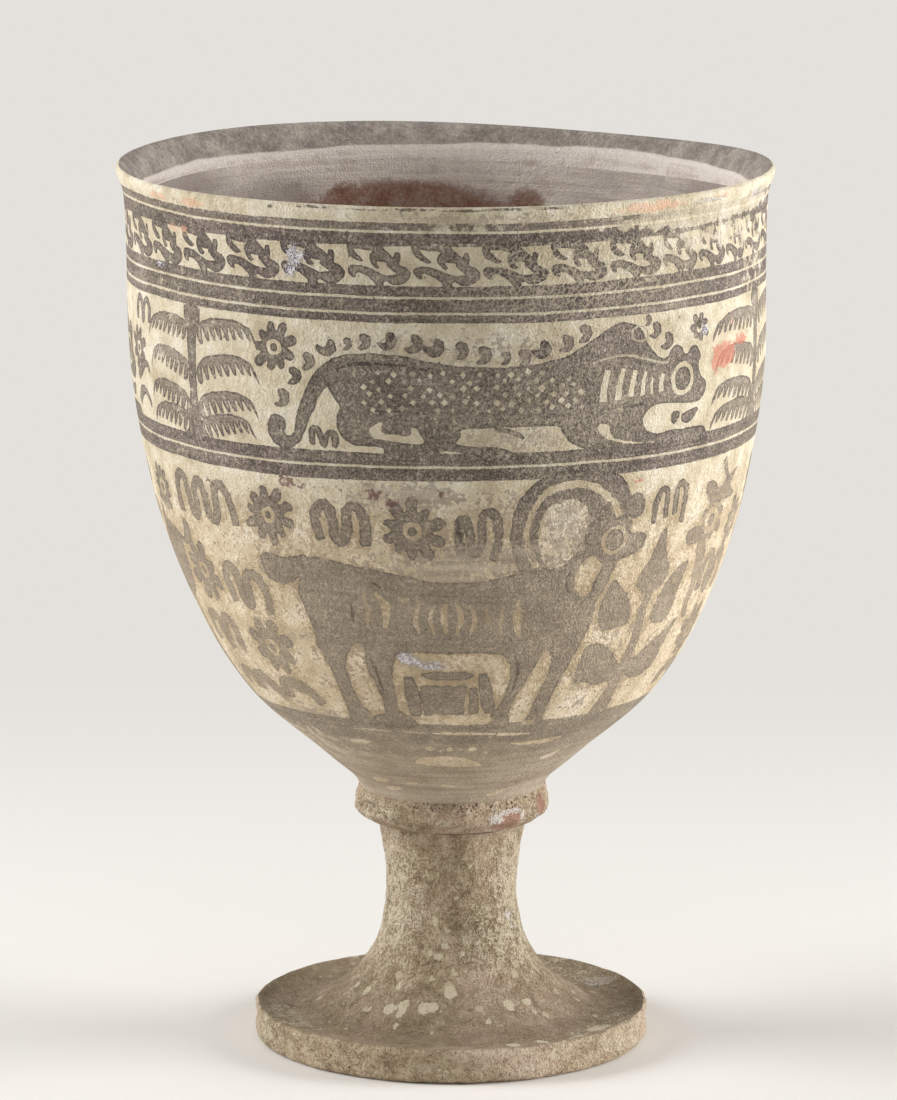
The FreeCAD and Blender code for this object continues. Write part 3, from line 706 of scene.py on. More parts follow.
# %% Bare places in the wash
for turn in THIRDS:
    for angle, height, wide, tall in ((-7, 93.9, 1.5, 0.9), (-3.6, 93, 0.6, 0.5), (-0.5, 93.8, 1, 0.8),
                                      (3, 93.6, 0.5, 0.4), (6.7, 93.6, 1.6, 0.9), (11.6, 92.2, 0.9, 0.5)):
        dot = ((angle - wide, height), (angle, height + tall), (angle + wide, height), (angle, height - tall))
        fill_shape(dot, -0.8, turn)
    crescent = ((-13.7, 88.4), (-10, 90.2), (-3.5, 91), (3, 90.4), (8, 89), (11.3, 87.2), (4, 86.9),
                (-4, 87.1), (-9, 87.2))
    fill_shape(crescent, -0.75, turn)
    bright = ((-8.4, 103.6), (-7, 105.4), (0, 105.9), (8, 105.6), (11, 104.4), (10, 102.8), (0, 102.6))
    fill_shape(bright, -0.9, turn)
for line, width, fill in (
    (((-30, 99.4), (-24, 99.8), (-17, 99.8)), (0.2, 0.5, 0.3), -0.5),
    (((-5.6, 99.8), (0, 99.6), (6, 99.4), (13, 99)), (0.4, 0.8, 0.9, 0.5), -0.95),
    (((13.4, 98.8), (16, 98.6), (20, 98.5), (24, 98.3)), (0.9, 1, 0.7, 0.3), -1),
    (((-16, 99.9), (-11, 99.8), (-7, 99.7)), (0.2, 0.5, 0.3), -0.6),
    (((18.6, 95.4), (22, 94.7), (28, 94.6), (34, 94.9), (37.2, 95.6)), (0.3, 0.9, 1.4, 1.4, 0.4), -1),
    (((-34.4, 94.6), (-30, 94.7), (-26, 95.2)), (0.6, 1.6, 0.6), -0.6),
    (((-44, 79.4), (-38, 79.7), (-33, 80.2)), (0.8, 1.8, 0.6), -0.9),
    (((-40, 76.4), (-34, 76.9), (-29, 77.4)), (0.8, 1.6, 0.6), -0.8),
    (((-23, 79.4), (-20, 79.8), (-17, 79.9)), (0.5, 1.2, 0.4), -0.8),
    (((-5.4, 79.8), (-2, 79.4), (2, 79)), (0.4, 1.1, 0.3), -0.6),
    (((37, 87.4), (41, 88), (45, 89.2)), (0.8, 2, 0.8), -0.7),
    (((20, 75.4), (27, 75.8), (33, 76.6)), (0.5, 1.1, 0.4), -0.7),
    (((19.6, 102), (21.6, 102.5), (23.4, 102.2)), (0.6, 1.3, 0.5), -0.8),
):
    paint(stroke(line, width), fill)
print("shapes drawn in all:", len(drawing))

# %% [markdown]
# ## From the flat drawing to a painted wall
# The outside of the bowl is unrolled into a rectangle. All outlines and a plain grid of points go into one
# Delaunay triangulation, so that every painted edge is an edge of the mesh. Each face then takes the
# strength of the last shape that holds its middle, and the sheet is wrapped round the pot and sewn up behind.

# %% Triangulate the unrolled wall
WALL_LOW, WALL_HIGH = 73, 240
ROW_HEIGHT = 2
COLUMNS = 240
KEPT_CLEAR = 0.75
HALF_ROUND = 180 * FLAT_PER_DEGREE


def triangulate(loops):
    """Flat vertices and triangles of the wall, with every loop as edges of the mesh."""
    last_row, last_column = round((WALL_HIGH - WALL_LOW) / ROW_HEIGHT), COLUMNS
    heights = [WALL_LOW + (WALL_HIGH - WALL_LOW) * i / last_row for i in range(last_row + 1)]
    angles = [-HALF_ROUND + 2 * HALF_ROUND * j / last_column for j in range(last_column + 1)]
    crossing = []
    for loop, strength in loops:
        low, high = min(x for x, y in loop), max(x for x, y in loop)
        for shift in (-2 * HALF_ROUND, 0, 2 * HALF_ROUND):
            if low + shift < HALF_ROUND and high + shift > -HALF_ROUND:
                crossing.append(([(x + shift, y) for x, y in loop], strength))
    outline = [p for loop, strength in crossing for p in loop]
    near = kdtree.KDTree(len(outline))
    for i, (x, y) in enumerate(outline):
        near.insert((x, y, 0), i)
    near.balance()
    points, border = [], {}
    for i, z in enumerate(heights):
        for j, x in enumerate(angles):
            on_border = i in (0, last_row) or j in (0, last_column)
            if on_border or near.find((x, z, 0))[2] > KEPT_CLEAR:
                if on_border:
                    border[i, j] = len(points)
                points.append(Vector((x, z)))
    edges = []
    for row in (0, last_row):
        edges += [(border[row, j], border[row, j + 1]) for j in range(last_column)]
    for column in (0, last_column):
        edges += [(border[i, column], border[i + 1, column]) for i in range(last_row)]
    for loop, strength in crossing:
        first = len(points)
        points += [Vector(p) for p in loop]
        edges += [(first + k, first + (k + 1) % len(loop)) for k in range(len(loop))]
    made = delaunay_2d_cdt(points, edges, [], 0, 1e-4, False)
    return made[0], made[2], crossing


def strengths(middles, loops):
    """The paint strength at each flat point: that of the last loop that winds round it."""
    found = np.zeros(len(middles))
    for loop, strength in loops:
        ring = np.array(loop)
        low, high = ring.min(0), ring.max(0)
        inside = np.where(((middles >= low) & (middles <= high)).all(1))[0]
        if not len(inside):
            continue
        x, y = middles[inside, 0][:, None], middles[inside, 1][:, None]
        x0, y0 = ring[:, 0], ring[:, 1]
        x1, y1 = np.roll(x0, -1), np.roll(y0, -1)
        side = (x1 - x0) * (y - y0) - (x - x0) * (y1 - y0)
        winding = ((y0 <= y) & (y1 > y) & (side > 0)).sum(1) - ((y0 > y) & (y1 <= y) & (side < 0)).sum(1)
        found[inside[winding * turning(loop) > 0]] = strength
    return found


flat_points, flat_faces, flat_loops = triangulate(drawing)
flat_array = np.array([tuple(p) for p in flat_points])
flat_faces = [f for f in flat_faces if abs(flat_array[list(f), 0].mean()) < HALF_ROUND]
flat_middles = np.array([flat_array[list(f)].mean(0) for f in flat_faces])
keep = (flat_middles[:, 1] > WALL_LOW) & (flat_middles[:, 1] < WALL_HIGH)
flat_faces = [f for f, k in zip(flat_faces, keep) if k]
flat_strengths = strengths(flat_middles[keep], flat_loops)
print("flat triangles:", len(flat_faces), "painted:", int((flat_strengths > 0.1).sum()))

# %% [markdown]
# ## The bowl wall
# The wrapped sheet is the outside. Its top edge is extruded inward and then ring by ring down the inside, and
# the last ring is sewn to the bottom edge, so the wall is one closed shell about five millimetres thick.

# %% Wrap and close the wall
SHARP_ANGLE = 48
SEAM_GAP = 0.02
RIM_ABOVE = 200
HALO_SPREADS = 2
SPOT_REACH = 1.6
INSIDE_TOP = (240, 84.6)
INSIDE_STEPS = range(235, 76, -5)
SEAT = ((76.4, 20.4), (74, 23.6), (73, 23.8))


def finish_piece(bm, name, materials, node):
    """Makes the object, rides it on the body and hides the CAD node that it stands for."""
    mesh = bpy.data.meshes.new(name)
    bm.to_mesh(mesh)
    bm.free()
    mesh.shade_smooth()
    mesh.set_sharp_from_angle(angle=math.radians(SHARP_ANGLE))
    for material in materials:
        mesh.materials.append(material)
    piece = bpy.data.objects.new(name, mesh)
    bpy.context.scene.collection.objects.link(piece)
    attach(piece, "root")
    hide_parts(node)
    print(name, "triangles:", sum(len(p.vertices) - 2 for p in mesh.polygons))


def angle_of(point):
    """The angle of a point round the pot in degrees, from the front."""
    return math.degrees(math.atan2(point.x, -point.y))


def wall_point(angle, height):
    """A point of the bowl's outside."""
    return hand_thrown(angle, height, read_curve(BOWL_OUTSIDE, height))


def store_spots(bm, kinds):
    """Stores soft spots on the points, one attribute for each kind: 1 in a spot's middle, 0 well outside it.

    A spot is its angle, its height, half its width and half its height in mm, and its strength.
    """
    places = np.array([(angle_of(v.co), v.co.z / MM, math.hypot(v.co.x, v.co.y) / MM) for v in bm.verts])
    for kind, spots in kinds.items():
        found = np.zeros(len(places))
        for angle, height, wide, tall, most in spots:
            across = np.radians((places[:, 0] - angle + 180) % 360 - 180) * places[:, 2] / wide
            apart = np.hypot(across, (places[:, 1] - height) / tall)
            found = np.maximum(found, most * np.clip(SPOT_REACH - apart, 0, 1))
        layer = bm.verts.layers.float.new(kind)
        for v, value in zip(bm.verts, found):
            v[layer] = value
    return bm


def store_halo(bm, strength):
    """Stores how near each point is to paint: the paint of its faces, spread over its neighbours twice."""
    layer = bm.verts.layers.float.new("halo")
    for v in bm.verts:
        v[layer] = sum(max(0, f[strength]) for f in v.link_faces) / max(1, len(v.link_faces))
    for spread in range(HALO_SPREADS):
        values = [
            (v[layer] + sum(e.other_vert(v)[layer] for e in v.link_edges)) / (1 + len(v.link_edges))
            for v in bm.verts
        ]
        for v, value in zip(bm.verts, values):
            v[layer] = value


def make_wall():
    """The bowl wall as one closed shell, with the paint stored on its faces and its halo on the points."""
    bm = bmesh.new()
    strength = bm.faces.layers.float.new("paint")
    turns = bm.verts.layers.float.new("turn")
    corners = {}
    for i in sorted({i for f in flat_faces for i in f}):
        x, z = flat_array[i]
        corners[i] = bm.verts.new(wall_point(x / FLAT_PER_DEGREE, z))
        corners[i][turns] = x / FLAT_PER_DEGREE
    for f, value in zip(flat_faces, flat_strengths):
        try:
            made = bm.faces.new([corners[i] for i in f])
        except ValueError:
            continue
        made[strength] = value
    bmesh.ops.remove_doubles(bm, verts=bm.verts, dist=SEAM_GAP * MM)
    store_halo(bm, strength)
    rim = [e for e in bm.edges if e.is_boundary and min(v.co.z for v in e.verts) > RIM_ABOVE * MM]
    for height, radius in (INSIDE_TOP, *((z, read_curve(BOWL_INSIDE, z)) for z in INSIDE_STEPS), *SEAT):
        made = bmesh.ops.extrude_edge_only(bm, edges=rim)["geom"]
        for v in (g for g in made if isinstance(g, bmesh.types.BMVert)):
            v.co = hand_thrown(v[turns], height, radius)
        for f in (g for g in made if isinstance(g, bmesh.types.BMFace)):
            f.material_index = 1
        rim = [g for g in made if isinstance(g, bmesh.types.BMEdge) and g.is_boundary]
    low = [e for e in bm.edges if e.is_boundary and e not in set(rim)]
    bmesh.ops.bridge_loops(bm, edges=rim + low)
    bmesh.ops.recalc_face_normals(bm, faces=bm.faces)
    print("wall edges left open:", sum(not e.is_manifold for e in bm.edges))
    bm.verts.layers.float.remove(turns)
    return bm


wall_mesh = make_wall()

# %% [markdown]
# ## Where time has marked the bowl, and where shade is painted
# Lime crusts, rust-coloured stains, mauve flecks, faded paint and soil sit in certain places on this pot. The
# soil spot low on the right outside is painted shade, and the darker patches inside are painted shade with
# some dirt.
# They are kept as soft spots on the mesh, and each finish below gives them ragged edges with a noise.

# %% Marks on the wall
WALL_MARKS = {
    "crust": (
        (-27.6, 235.6, 3.2, 3.2, 0.68), (-28.6, 231.4, 2.2, 2.2, 0.62), (-61, 228, 3.4, 1.6, 0.62),
        (-9, 122.9, 3.8, 1.6, 0.72), (-4.4, 121.6, 4.8, 1.5, 0.68), (-10.6, 124.4, 2.2, 1.4, 0.68),
        (51, 211.8, 1.6, 1.6, 0.7), (56, 243.6, 5, 1.4, 0.5), (-120, 160, 5, 3, 0.6), (150, 210, 4, 3, 0.6),
    ),
    "rust": (
        (57.2, 203.6, 5.6, 3.4, 0.95), (63, 206.6, 7, 1.7, 0.74), (54.4, 201.2, 3, 2.8, 0.66),
        (36.4, 173, 3.6, 1.5, 0.66), (132, 206, 5, 2, 0.6), (-64.5, 226.6, 2.4, 1, 0.5),
    ),
    "blush": ((-54, 241, 8, 4, 0.5), (62, 214, 8, 3, 0.4)),
    "mauve": (
        (-31, 173.5, 3, 1.5, 0.74), (-28, 172.6, 1.8, 1.6, 0.74), (-14.2, 171.6, 2.6, 1.7, 0.76),
        (-11, 169.3, 2.2, 1.4, 0.66), (-1.7, 171.8, 1.9, 1.5, 0.7), (-49.5, 170.8, 2.2, 1.4, 0.62),
        (-20.4, 171.4, 1.5, 1.4, 0.6), (-160, 172, 5, 1, 0.8),
    ),
    "crack": ((49.3, 213.7, 1.1, 1, 1),),
    "fade": (
        (-53, 204, 24, 20, 0.3), (-33, 163, 3, 4, 0.3), (-20, 163, 4, 5, 0.3),
        (-5, 161, 4, 4, 0.3),
        (-51, 142, 4, 6, 0.3), (-38, 131, 5, 7, 0.34), (56, 240, 22, 6, 0.68),
        (70, 228, 12, 14, 0.5), (2, 241, 14, 2.6, 0.5),
        (-130, 238, 30, 6, 0.6), (172, 178, 18, 5, 0.5),
        (60, 150, 14, 22, 0.35), (-66, 118, 20, 14, 0.35), (-58, 91, 22, 7, 0.55),
    ),
    "soil_and_shade": (
        (-24, 132, 12, 14, 0.4), (4, 152, 26, 7, 0.7), (14, 152, 12, 6, 0.6),
        (40, 118, 18, 18, 0.3), (-36, 124, 12, 18, 0.2), (22, 160, 7, 9, 0.7),
        # The spot at 54 degrees and 88 mm is painted shade: it darkens the low right of the wall.
        (54, 88, 22, 9, 0.85), (-36, 148, 9, 6, 0.36), (-9, 171, 18, 4, 0.66),
        (0, 112, 20, 8, 0.3), (8, 168, 16, 5, 0.4),
        (12, 186, 16, 4, 0.6), (2, 211, 34, 5, 0.5), (-120, 130, 40, 20, 0.5),
        (170, 120, 50, 20, 0.55), (110, 160, 30, 25, 0.4), (-42, 103, 12, 3, 0.6),
    ),
    "crazed": ((22, 232, 32, 14, 1), (20, 198, 30, 12, 0.5), (-160, 220, 40, 14, 0.8)),
    "stain_inside": (
        (-170, 221, 33, 10, 0.95), (-158, 228, 5, 5, 0.95), (-170, 228, 19, 4.5, 1),
        (165, 226, 6, 4, 0.85), (152, 221, 9, 6, 0.4),
    ),
    # Painted shade, with some dirt: darker patches inside where the lamps leave the wall dim.
    "shade_and_dirt_inside": (
        (-112, 234, 28, 12, 1), (-142, 229, 18, 8, 0.85), (148, 224, 22, 6, 0.5),
        (172, 222, 15, 7, 0.9), (140, 236, 26, 9, 0.6),
        (112, 232, 30, 13, 0.95), (180, 150, 90, 40, 0.6),
    ),
}
store_spots(wall_mesh, WALL_MARKS)
print("spots on the wall:", sum(len(spots) for spots in WALL_MARKS.values()))

# %% [markdown]
# ## Turned pieces
# The lip, collar, stem and foot are turned shapes. A closed outline of radius and height is smoothed, spun
# round the axis, and then given the small dents and chips of old clay by moving its points.

# %% A helper for turned pieces
TURN_STEPS = 200
MERGE = 0.01


def turned(points, step=1.2, closed=True, steps=TURN_STEPS):
    """The outline through (radius, height) points, spun round the axis. A point given twice stays a corner.

    An outline that isn't closed starts and ends on the axis.
    """
    bm = bmesh.new()
    verts = [bm.verts.new(Vector((0, -max(0, r), z)) * MM) for r, z in through(points, closed, step)]
    edges = [bm.edges.new(pair) for pair in zip(verts, verts[1:] + verts[:1] if closed else verts[1:])]
    bmesh.ops.spin(bm, geom=verts + edges, cent=(0, 0, 0), axis=(0, 0, 1), angle=math.tau, steps=steps,
                   use_merge=True, use_duplicate=False)
    bmesh.ops.remove_doubles(bm, verts=bm.verts, dist=MERGE * MM)
    return bm


def age(bm, dents, size, lumps=0, chips=(), calm=None):
    """Moves the points of a turned mesh as hand_thrown does, then by dents of that depth and size in mm.

    calm is a pair of heights between which the dents fade in, so that a seam stays closed.
    """
    for v in bm.verts:
        radius, height = math.hypot(v.co.x, v.co.y) / MM, v.co.z / MM
        angle = angle_of(v.co)
        out = Vector((v.co.x, v.co.y, 0)).normalized() if radius > 0.01 else Vector((0, 0, 1))
        v.co = hand_thrown(angle, height, radius)
        spot = v.co / MM
        depth = dents * (noise.fractal(spot / size, 0.9, 2.1, 3) - 0.15)
        depth += lumps * noise.noise(spot / (size * 4))
        for a, z, reach, chip in chips:
            centre = hand_thrown(a, z, radius)
            gap = (v.co - centre).length / MM
            if gap < reach:
                depth -= chip * ease(0, 1, 1 - gap / reach) * (1 + 0.6 * noise.noise(spot / 1.7))
        if calm:
            depth *= ease(*calm, height)
        v.co += out * depth * MM
    bmesh.ops.recalc_face_normals(bm, faces=bm.faces)
    return bm


# %% [markdown]
# ## Colour and surface
# Every finish is unglazed earthenware: matt, rough, with pits and grit. Colours are written as sRGB hex and
# turned to linear by one function, and all patterns are sized in millimetres.

# %% Material helpers
def colour(code):
    """A linear colour from an sRGB hex code."""
    parts = [int(code[i:i + 2], 16) / 255 for i in (0, 2, 4)]
    return (*(p / 12.92 if p <= 0.04045 else ((p + 0.055) / 1.055) ** 2.4 for p in parts), 1)


def put(tree, kind, inputs=(), out=0, **settings):
    """Adds a node and returns its output out, or the node itself where out is None.

    inputs go to its sockets, in their order or by their names: each is a value or another node's output.
    settings are its properties.
    """
    node = tree.nodes.new("ShaderNode" + kind)
    for name, value in settings.items():
        setattr(node, name, value)
    for name, value in inputs.items() if isinstance(inputs, dict) else enumerate(inputs):
        if isinstance(value, bpy.types.NodeSocket):
            tree.links.new(value, node.inputs[name])
        else:
            node.inputs[name].default_value = value
    return node if out is None else node.outputs[out]


def stops(node, pairs, kind="LINEAR"):
    """Sets a ramp's stops from pairs of a place and a hex colour or a grey, and returns its colour output."""
    ramp = node.color_ramp
    ramp.interpolation = kind
    while len(ramp.elements) < len(pairs):
        ramp.elements.new(1)
    for element, (place, value) in zip(ramp.elements, pairs):
        element.position = place
        element.color = colour(value) if isinstance(value, str) else (value, value, value, 1)
    return node.outputs["Color"]


class Clay:
    """A material that is being made: its tree, its coordinates in millimetres and its height."""

    def __init__(self, name):
        self.material = bpy.data.materials.new(name)
        self.material.use_nodes = True
        self.tree = self.material.node_tree
        self.tree.nodes.clear()
        place = put(self.tree, "TexCoord", out="Object")
        self.mm = put(self.tree, "VectorMath", {0: place, "Scale": 1 / MM}, operation="SCALE")
        self.height = put(self.tree, "SeparateXYZ", (self.mm,), "Z")

    def add(self, kind, inputs=(), out=0, **settings):
        return put(self.tree, kind, inputs, out, **settings)

    def finish(self, base, rough, bump, depth):
        shader = self.add("BsdfPrincipled", {
            "Base Color": base, "Roughness": rough, "IOR": 1.5, "Specular IOR Level": 0.3,
            "Normal": self.add("Bump", {"Height": bump, "Distance": depth * MM, "Strength": 1}),
        })
        self.add("OutputMaterial", {"Surface": shader}, None)
        return self.material


# %% [markdown]
# ## Painted slip
# The bowl was dipped in cream slip, and the bands were laid on while it turned, so they follow the height and
# waver a little. One colour ramp along the height holds them. The figures come from the paint value stored on
# the wall's faces. The paint is grainy and thin, it pooled a little darker at its edges, and burial dirt lies
# over the lower half as a ragged film, which also lays a patch of painted shade low on the right.

# %% Ragged marks
TORN_FROM, TORN_FULL = 0.46, 0.62


def ragged(clay, kind, rough, most=1, share=0.8):
    """How far a kind of mark covers each point: its soft spots with an edge torn by the noise rough."""
    soft = clay.add("Attribute", out="Fac", attribute_name=kind)
    torn = clay.add("Math", (rough, share, soft), operation="MULTIPLY_ADD")
    return clay.add("MapRange", (torn, TORN_FROM + share / 2, TORN_FULL + share / 2, 0, most))


# %% Painted slip
BAND_LOW, BAND_HIGH = 70, 252
BAND_WAVER = 1.15
BANDS = (
    (70, 0.4), (82, 0.6), (90, 0.8), (95, 0.95), (102.5, 0), (175, 1), (178.6, 0.1), (179.2, 1), (182.4, 0),
    (217.9, 1), (220.7, 0.1), (221.35, 1), (224.5, 0.1), (225.15, 1), (228.1, 0), (239.1, 1),
    (242.15, 0.05), (242.85, 0.9), (245.6, 0),
)


def painted_slip(name):
    clay = Clay(name)
    add, mm = clay.add, clay.mm
    broad, blotch, patch, grit, fine = (
        add("TexNoise", {"Vector": mm, "Scale": 1 / wide, "Detail": detail, "Roughness": rough})
        for wide, detail, rough in ((34, 3, 0.5), (9, 5, 0.62), (3, 4, 0.65), (1.2, 3, 0.65), (0.5, 1, 0.5)))
    level = add("VectorMath", (mm, (0.03, 0.03, 0.7)), operation="MULTIPLY")
    streak = add("TexNoise", {"Vector": level, "Scale": 1, "Detail": 4, "Roughness": 0.6})
    grain = add("Math", (fine, 1.4, grit), operation="MULTIPLY_ADD")

    # Where the paint lies
    waved = add("Math", (broad, 1.6, clay.height), operation="MULTIPLY_ADD")
    waved = add("Math", (grit, 0.7, waved), operation="MULTIPLY_ADD")
    along = add("MapRange", (waved, BAND_LOW + BAND_WAVER, BAND_HIGH + BAND_WAVER))
    bands = stops(add("ValToRGB", (along,), None),
                  [((z - BAND_LOW) / (BAND_HIGH - BAND_LOW), v) for z, v in BANDS], "CONSTANT")
    figure = add("Attribute", out="Fac", attribute_name="paint")
    laid = add("Math", (bands, figure), operation="ADD", use_clamp=True)
    faded = ragged(clay, "fade", patch, 0.75, 2.2)
    faded = add("Math", (1, faded), operation="SUBTRACT")
    laid = add("Math", (laid, faded), operation="MULTIPLY")
    worn = add("Math", (patch, 0.6, grit), operation="MULTIPLY_ADD")
    worn = add("MapRange", (worn, 0.93, 1.05, 1, 0.5))
    cover = add("Math", (laid, worn), operation="MULTIPLY")

    # Cream slip, browned near paint on the lower half
    cloud = add("Math", (patch, 0.6, blotch), operation="MULTIPLY_ADD")
    slip = stops(add("ValToRGB", (cloud,), None), (
        (0.6, "bbad92"), (0.74, "d0c3a8"), (0.86, "ddd2ba"), (1, "e8e0cf")))
    shade = add("MapRange", (grain, 0.9, 1.5, 0.84, 1.08))
    slip = add("VectorMath", {0: slip, "Scale": shade}, operation="SCALE")
    down = add("MapRange", (clay.height, 146, 178, 1, 0))
    peach = add("VectorMath", (slip, (1.04, 0.98, 0.93)), operation="MULTIPLY")
    slip = add("Mix", {"Factor": down, "A": slip, "B": peach}, "Result", data_type="RGBA")
    rag = add("Math", (patch, grit), operation="ADD")
    rag = add("Math", (rag, 0.5), operation="MULTIPLY")
    near = add("Attribute", out="Fac", attribute_name="halo")
    halo = add("Math", (rag, 1.5, near), operation="MULTIPLY_ADD")
    halo = add("MapRange", (halo, 1.16, 1.3, 0, 0.3))
    lower = add("MapRange", (clay.height, 160, 180, 1, 0.2))
    halo = add("Math", (halo, lower), operation="MULTIPLY")
    flakes = add("Math", (patch, 0.8, grit), operation="MULTIPLY_ADD")
    flakes = add("Math", (near, 0.26, flakes), operation="MULTIPLY_ADD")
    flakes = add("MapRange", (flakes, 0.99, 1.03, 0, 0.6))
    flakes = add("Math", (flakes, lower), operation="MULTIPLY")
    for mask, tint in ((flakes, colour("a08a6b")), (halo, colour("a38b69"))):
        slip = add("Mix", {"Factor": mask, "A": slip, "B": tint}, "Result", data_type="RGBA")

    # Pigment: darker where it pooled, browner and thinner on the lower half
    tone = add("Math", (blotch, 0.9, grain), operation="MULTIPLY_ADD")
    tone = add("Math", (streak, 0.5, tone), operation="MULTIPLY_ADD")
    tone = add("MapRange", (tone, 1.45, 2.35))
    pigment = stops(add("ValToRGB", (tone,), None), (
        (0.1, "4d443c"), (0.36, "675d52"), (0.6, "7e7367"), (0.9, "a39784")))
    mauve = add("MapRange", (broad, 0.42, 0.6, 0, 0.75))
    upper = add("Math", (1, down), operation="SUBTRACT")
    mauve = add("Math", (mauve, upper), operation="MULTIPLY")
    cool = add("VectorMath", (pigment, (0.95, 0.9, 1.02)), operation="MULTIPLY")
    pigment = add("Mix", {"Factor": mauve, "A": pigment, "B": cool}, "Result", data_type="RGBA")
    thin = add("VectorMath", (pigment, (1.55, 1.53, 1.44)), operation="MULTIPLY")
    even = colour("948878")
    thin = add("Mix", {"Factor": 0.45, "A": thin, "B": even}, "Result", data_type="RGBA")
    pigment = add("Mix", {"Factor": down, "A": pigment, "B": thin}, "Result", data_type="RGBA")
    pooled = add("MapRange", (figure, 1, 1.3, 1, 0.6))
    pigment = add("VectorMath", {0: pigment, "Scale": pooled}, operation="SCALE")
    base = add("Mix", {"Factor": cover, "A": slip, "B": pigment}, "Result", data_type="RGBA")

    # Dirt, and a patch of painted shade low on the right: a ragged film that hides less of the paint than of
    # the slip, and spares what was rubbed bare
    dust_and_shade = stops(add("ValToRGB", (streak,), None), (
        (0.35, "938473"), (0.5, "a79887"), (0.62, "bbad9b")))
    dust_and_shade = add("VectorMath", {0: dust_and_shade, "Scale": shade}, operation="SCALE")
    film = ragged(clay, "soil_and_shade", rag, 0.75, 4)
    low = add("MapRange", (clay.height, 78, 97, 0.8, 0))
    film = add("Math", (film, low), operation="MAXIMUM")
    spared = add("Math", (figure, 1), operation="ADD", use_clamp=True)
    hidden = add("MapRange", (cover, 0, 1, 1, 0.45))
    for part in (spared, hidden):
        film = add("Math", (film, part), operation="MULTIPLY")
    base = add("Mix", {"Factor": film, "A": base, "B": dust_and_shade}, "Result", data_type="RGBA")

    # Craze lines, dark flecks, and the marks of burial
    bent = add("VectorMath", (patch, (4, 4, 4), mm), operation="MULTIPLY_ADD")
    lines = add("TexVoronoi", {"Vector": bent, "Scale": 1 / 1.7}, feature="DISTANCE_TO_EDGE")
    lines = add("MapRange", (lines, 0.03, 0.13, 0.55, 0))
    crazed = add("Attribute", out="Fac", attribute_name="crazed")
    crazed = add("Math", (lines, crazed), operation="MULTIPLY")
    speck = add("TexVoronoi", {"Vector": mm, "Scale": 1 / 3.4, "Randomness": 1}, None)
    chosen = add("SeparateColor", (speck.outputs["Color"],))
    dark = add("MapRange", (chosen, 0.55, 1, 0, 0.12))
    dark = add("Math", (speck.outputs["Distance"], dark), operation="LESS_THAN")
    dark = add("Math", (dark, 0.65), operation="MULTIPLY")
    crust = ragged(clay, "crust", fine, 0.9, 1.2)
    lilac = stops(add("ValToRGB", (grit,), None), (
        (0.38, "a69dab"), (0.5, "d3ced3"), (0.62, "efecea")))
    for mask, tint in (
        (crazed, colour("cdbfa4")), (dark, colour("54483b")),
        (ragged(clay, "rust", patch, 0.7, 1.5), colour("c4755f")),
        (ragged(clay, "blush", patch, 0.5, 1.5), colour("dba585")),
        (ragged(clay, "mauve", grit, 0.8, 1.2), colour("6f4c49")), (crust, lilac),
        (ragged(clay, "crack", grit, 0.8, 1), colour("4a3f33")),
    ):
        base = add("Mix", {"Factor": mask, "A": base, "B": tint}, "Result", data_type="RGBA")

    relief = add("Math", (grain, 0.35, patch), operation="MULTIPLY_ADD")
    for part, rise in ((crust, 0.4), (dark, -0.5), (crazed, 0.5), (cover, 0.08), (film, 0.12)):
        relief = add("Math", (part, rise, relief), operation="MULTIPLY_ADD")
    rough = add("MapRange", (cover, 0, 1, 0.85, 0.74))
    return clay.finish(base, rough, relief, 0.7)


# %% [markdown]
# ## The inside of the bowl
# Inside, the lip carries a dark painted band with a pale line under it. Below that the slip is thin and
# pinkish grey with turning marks, and reddish stains where something was kept or ground into the clay.

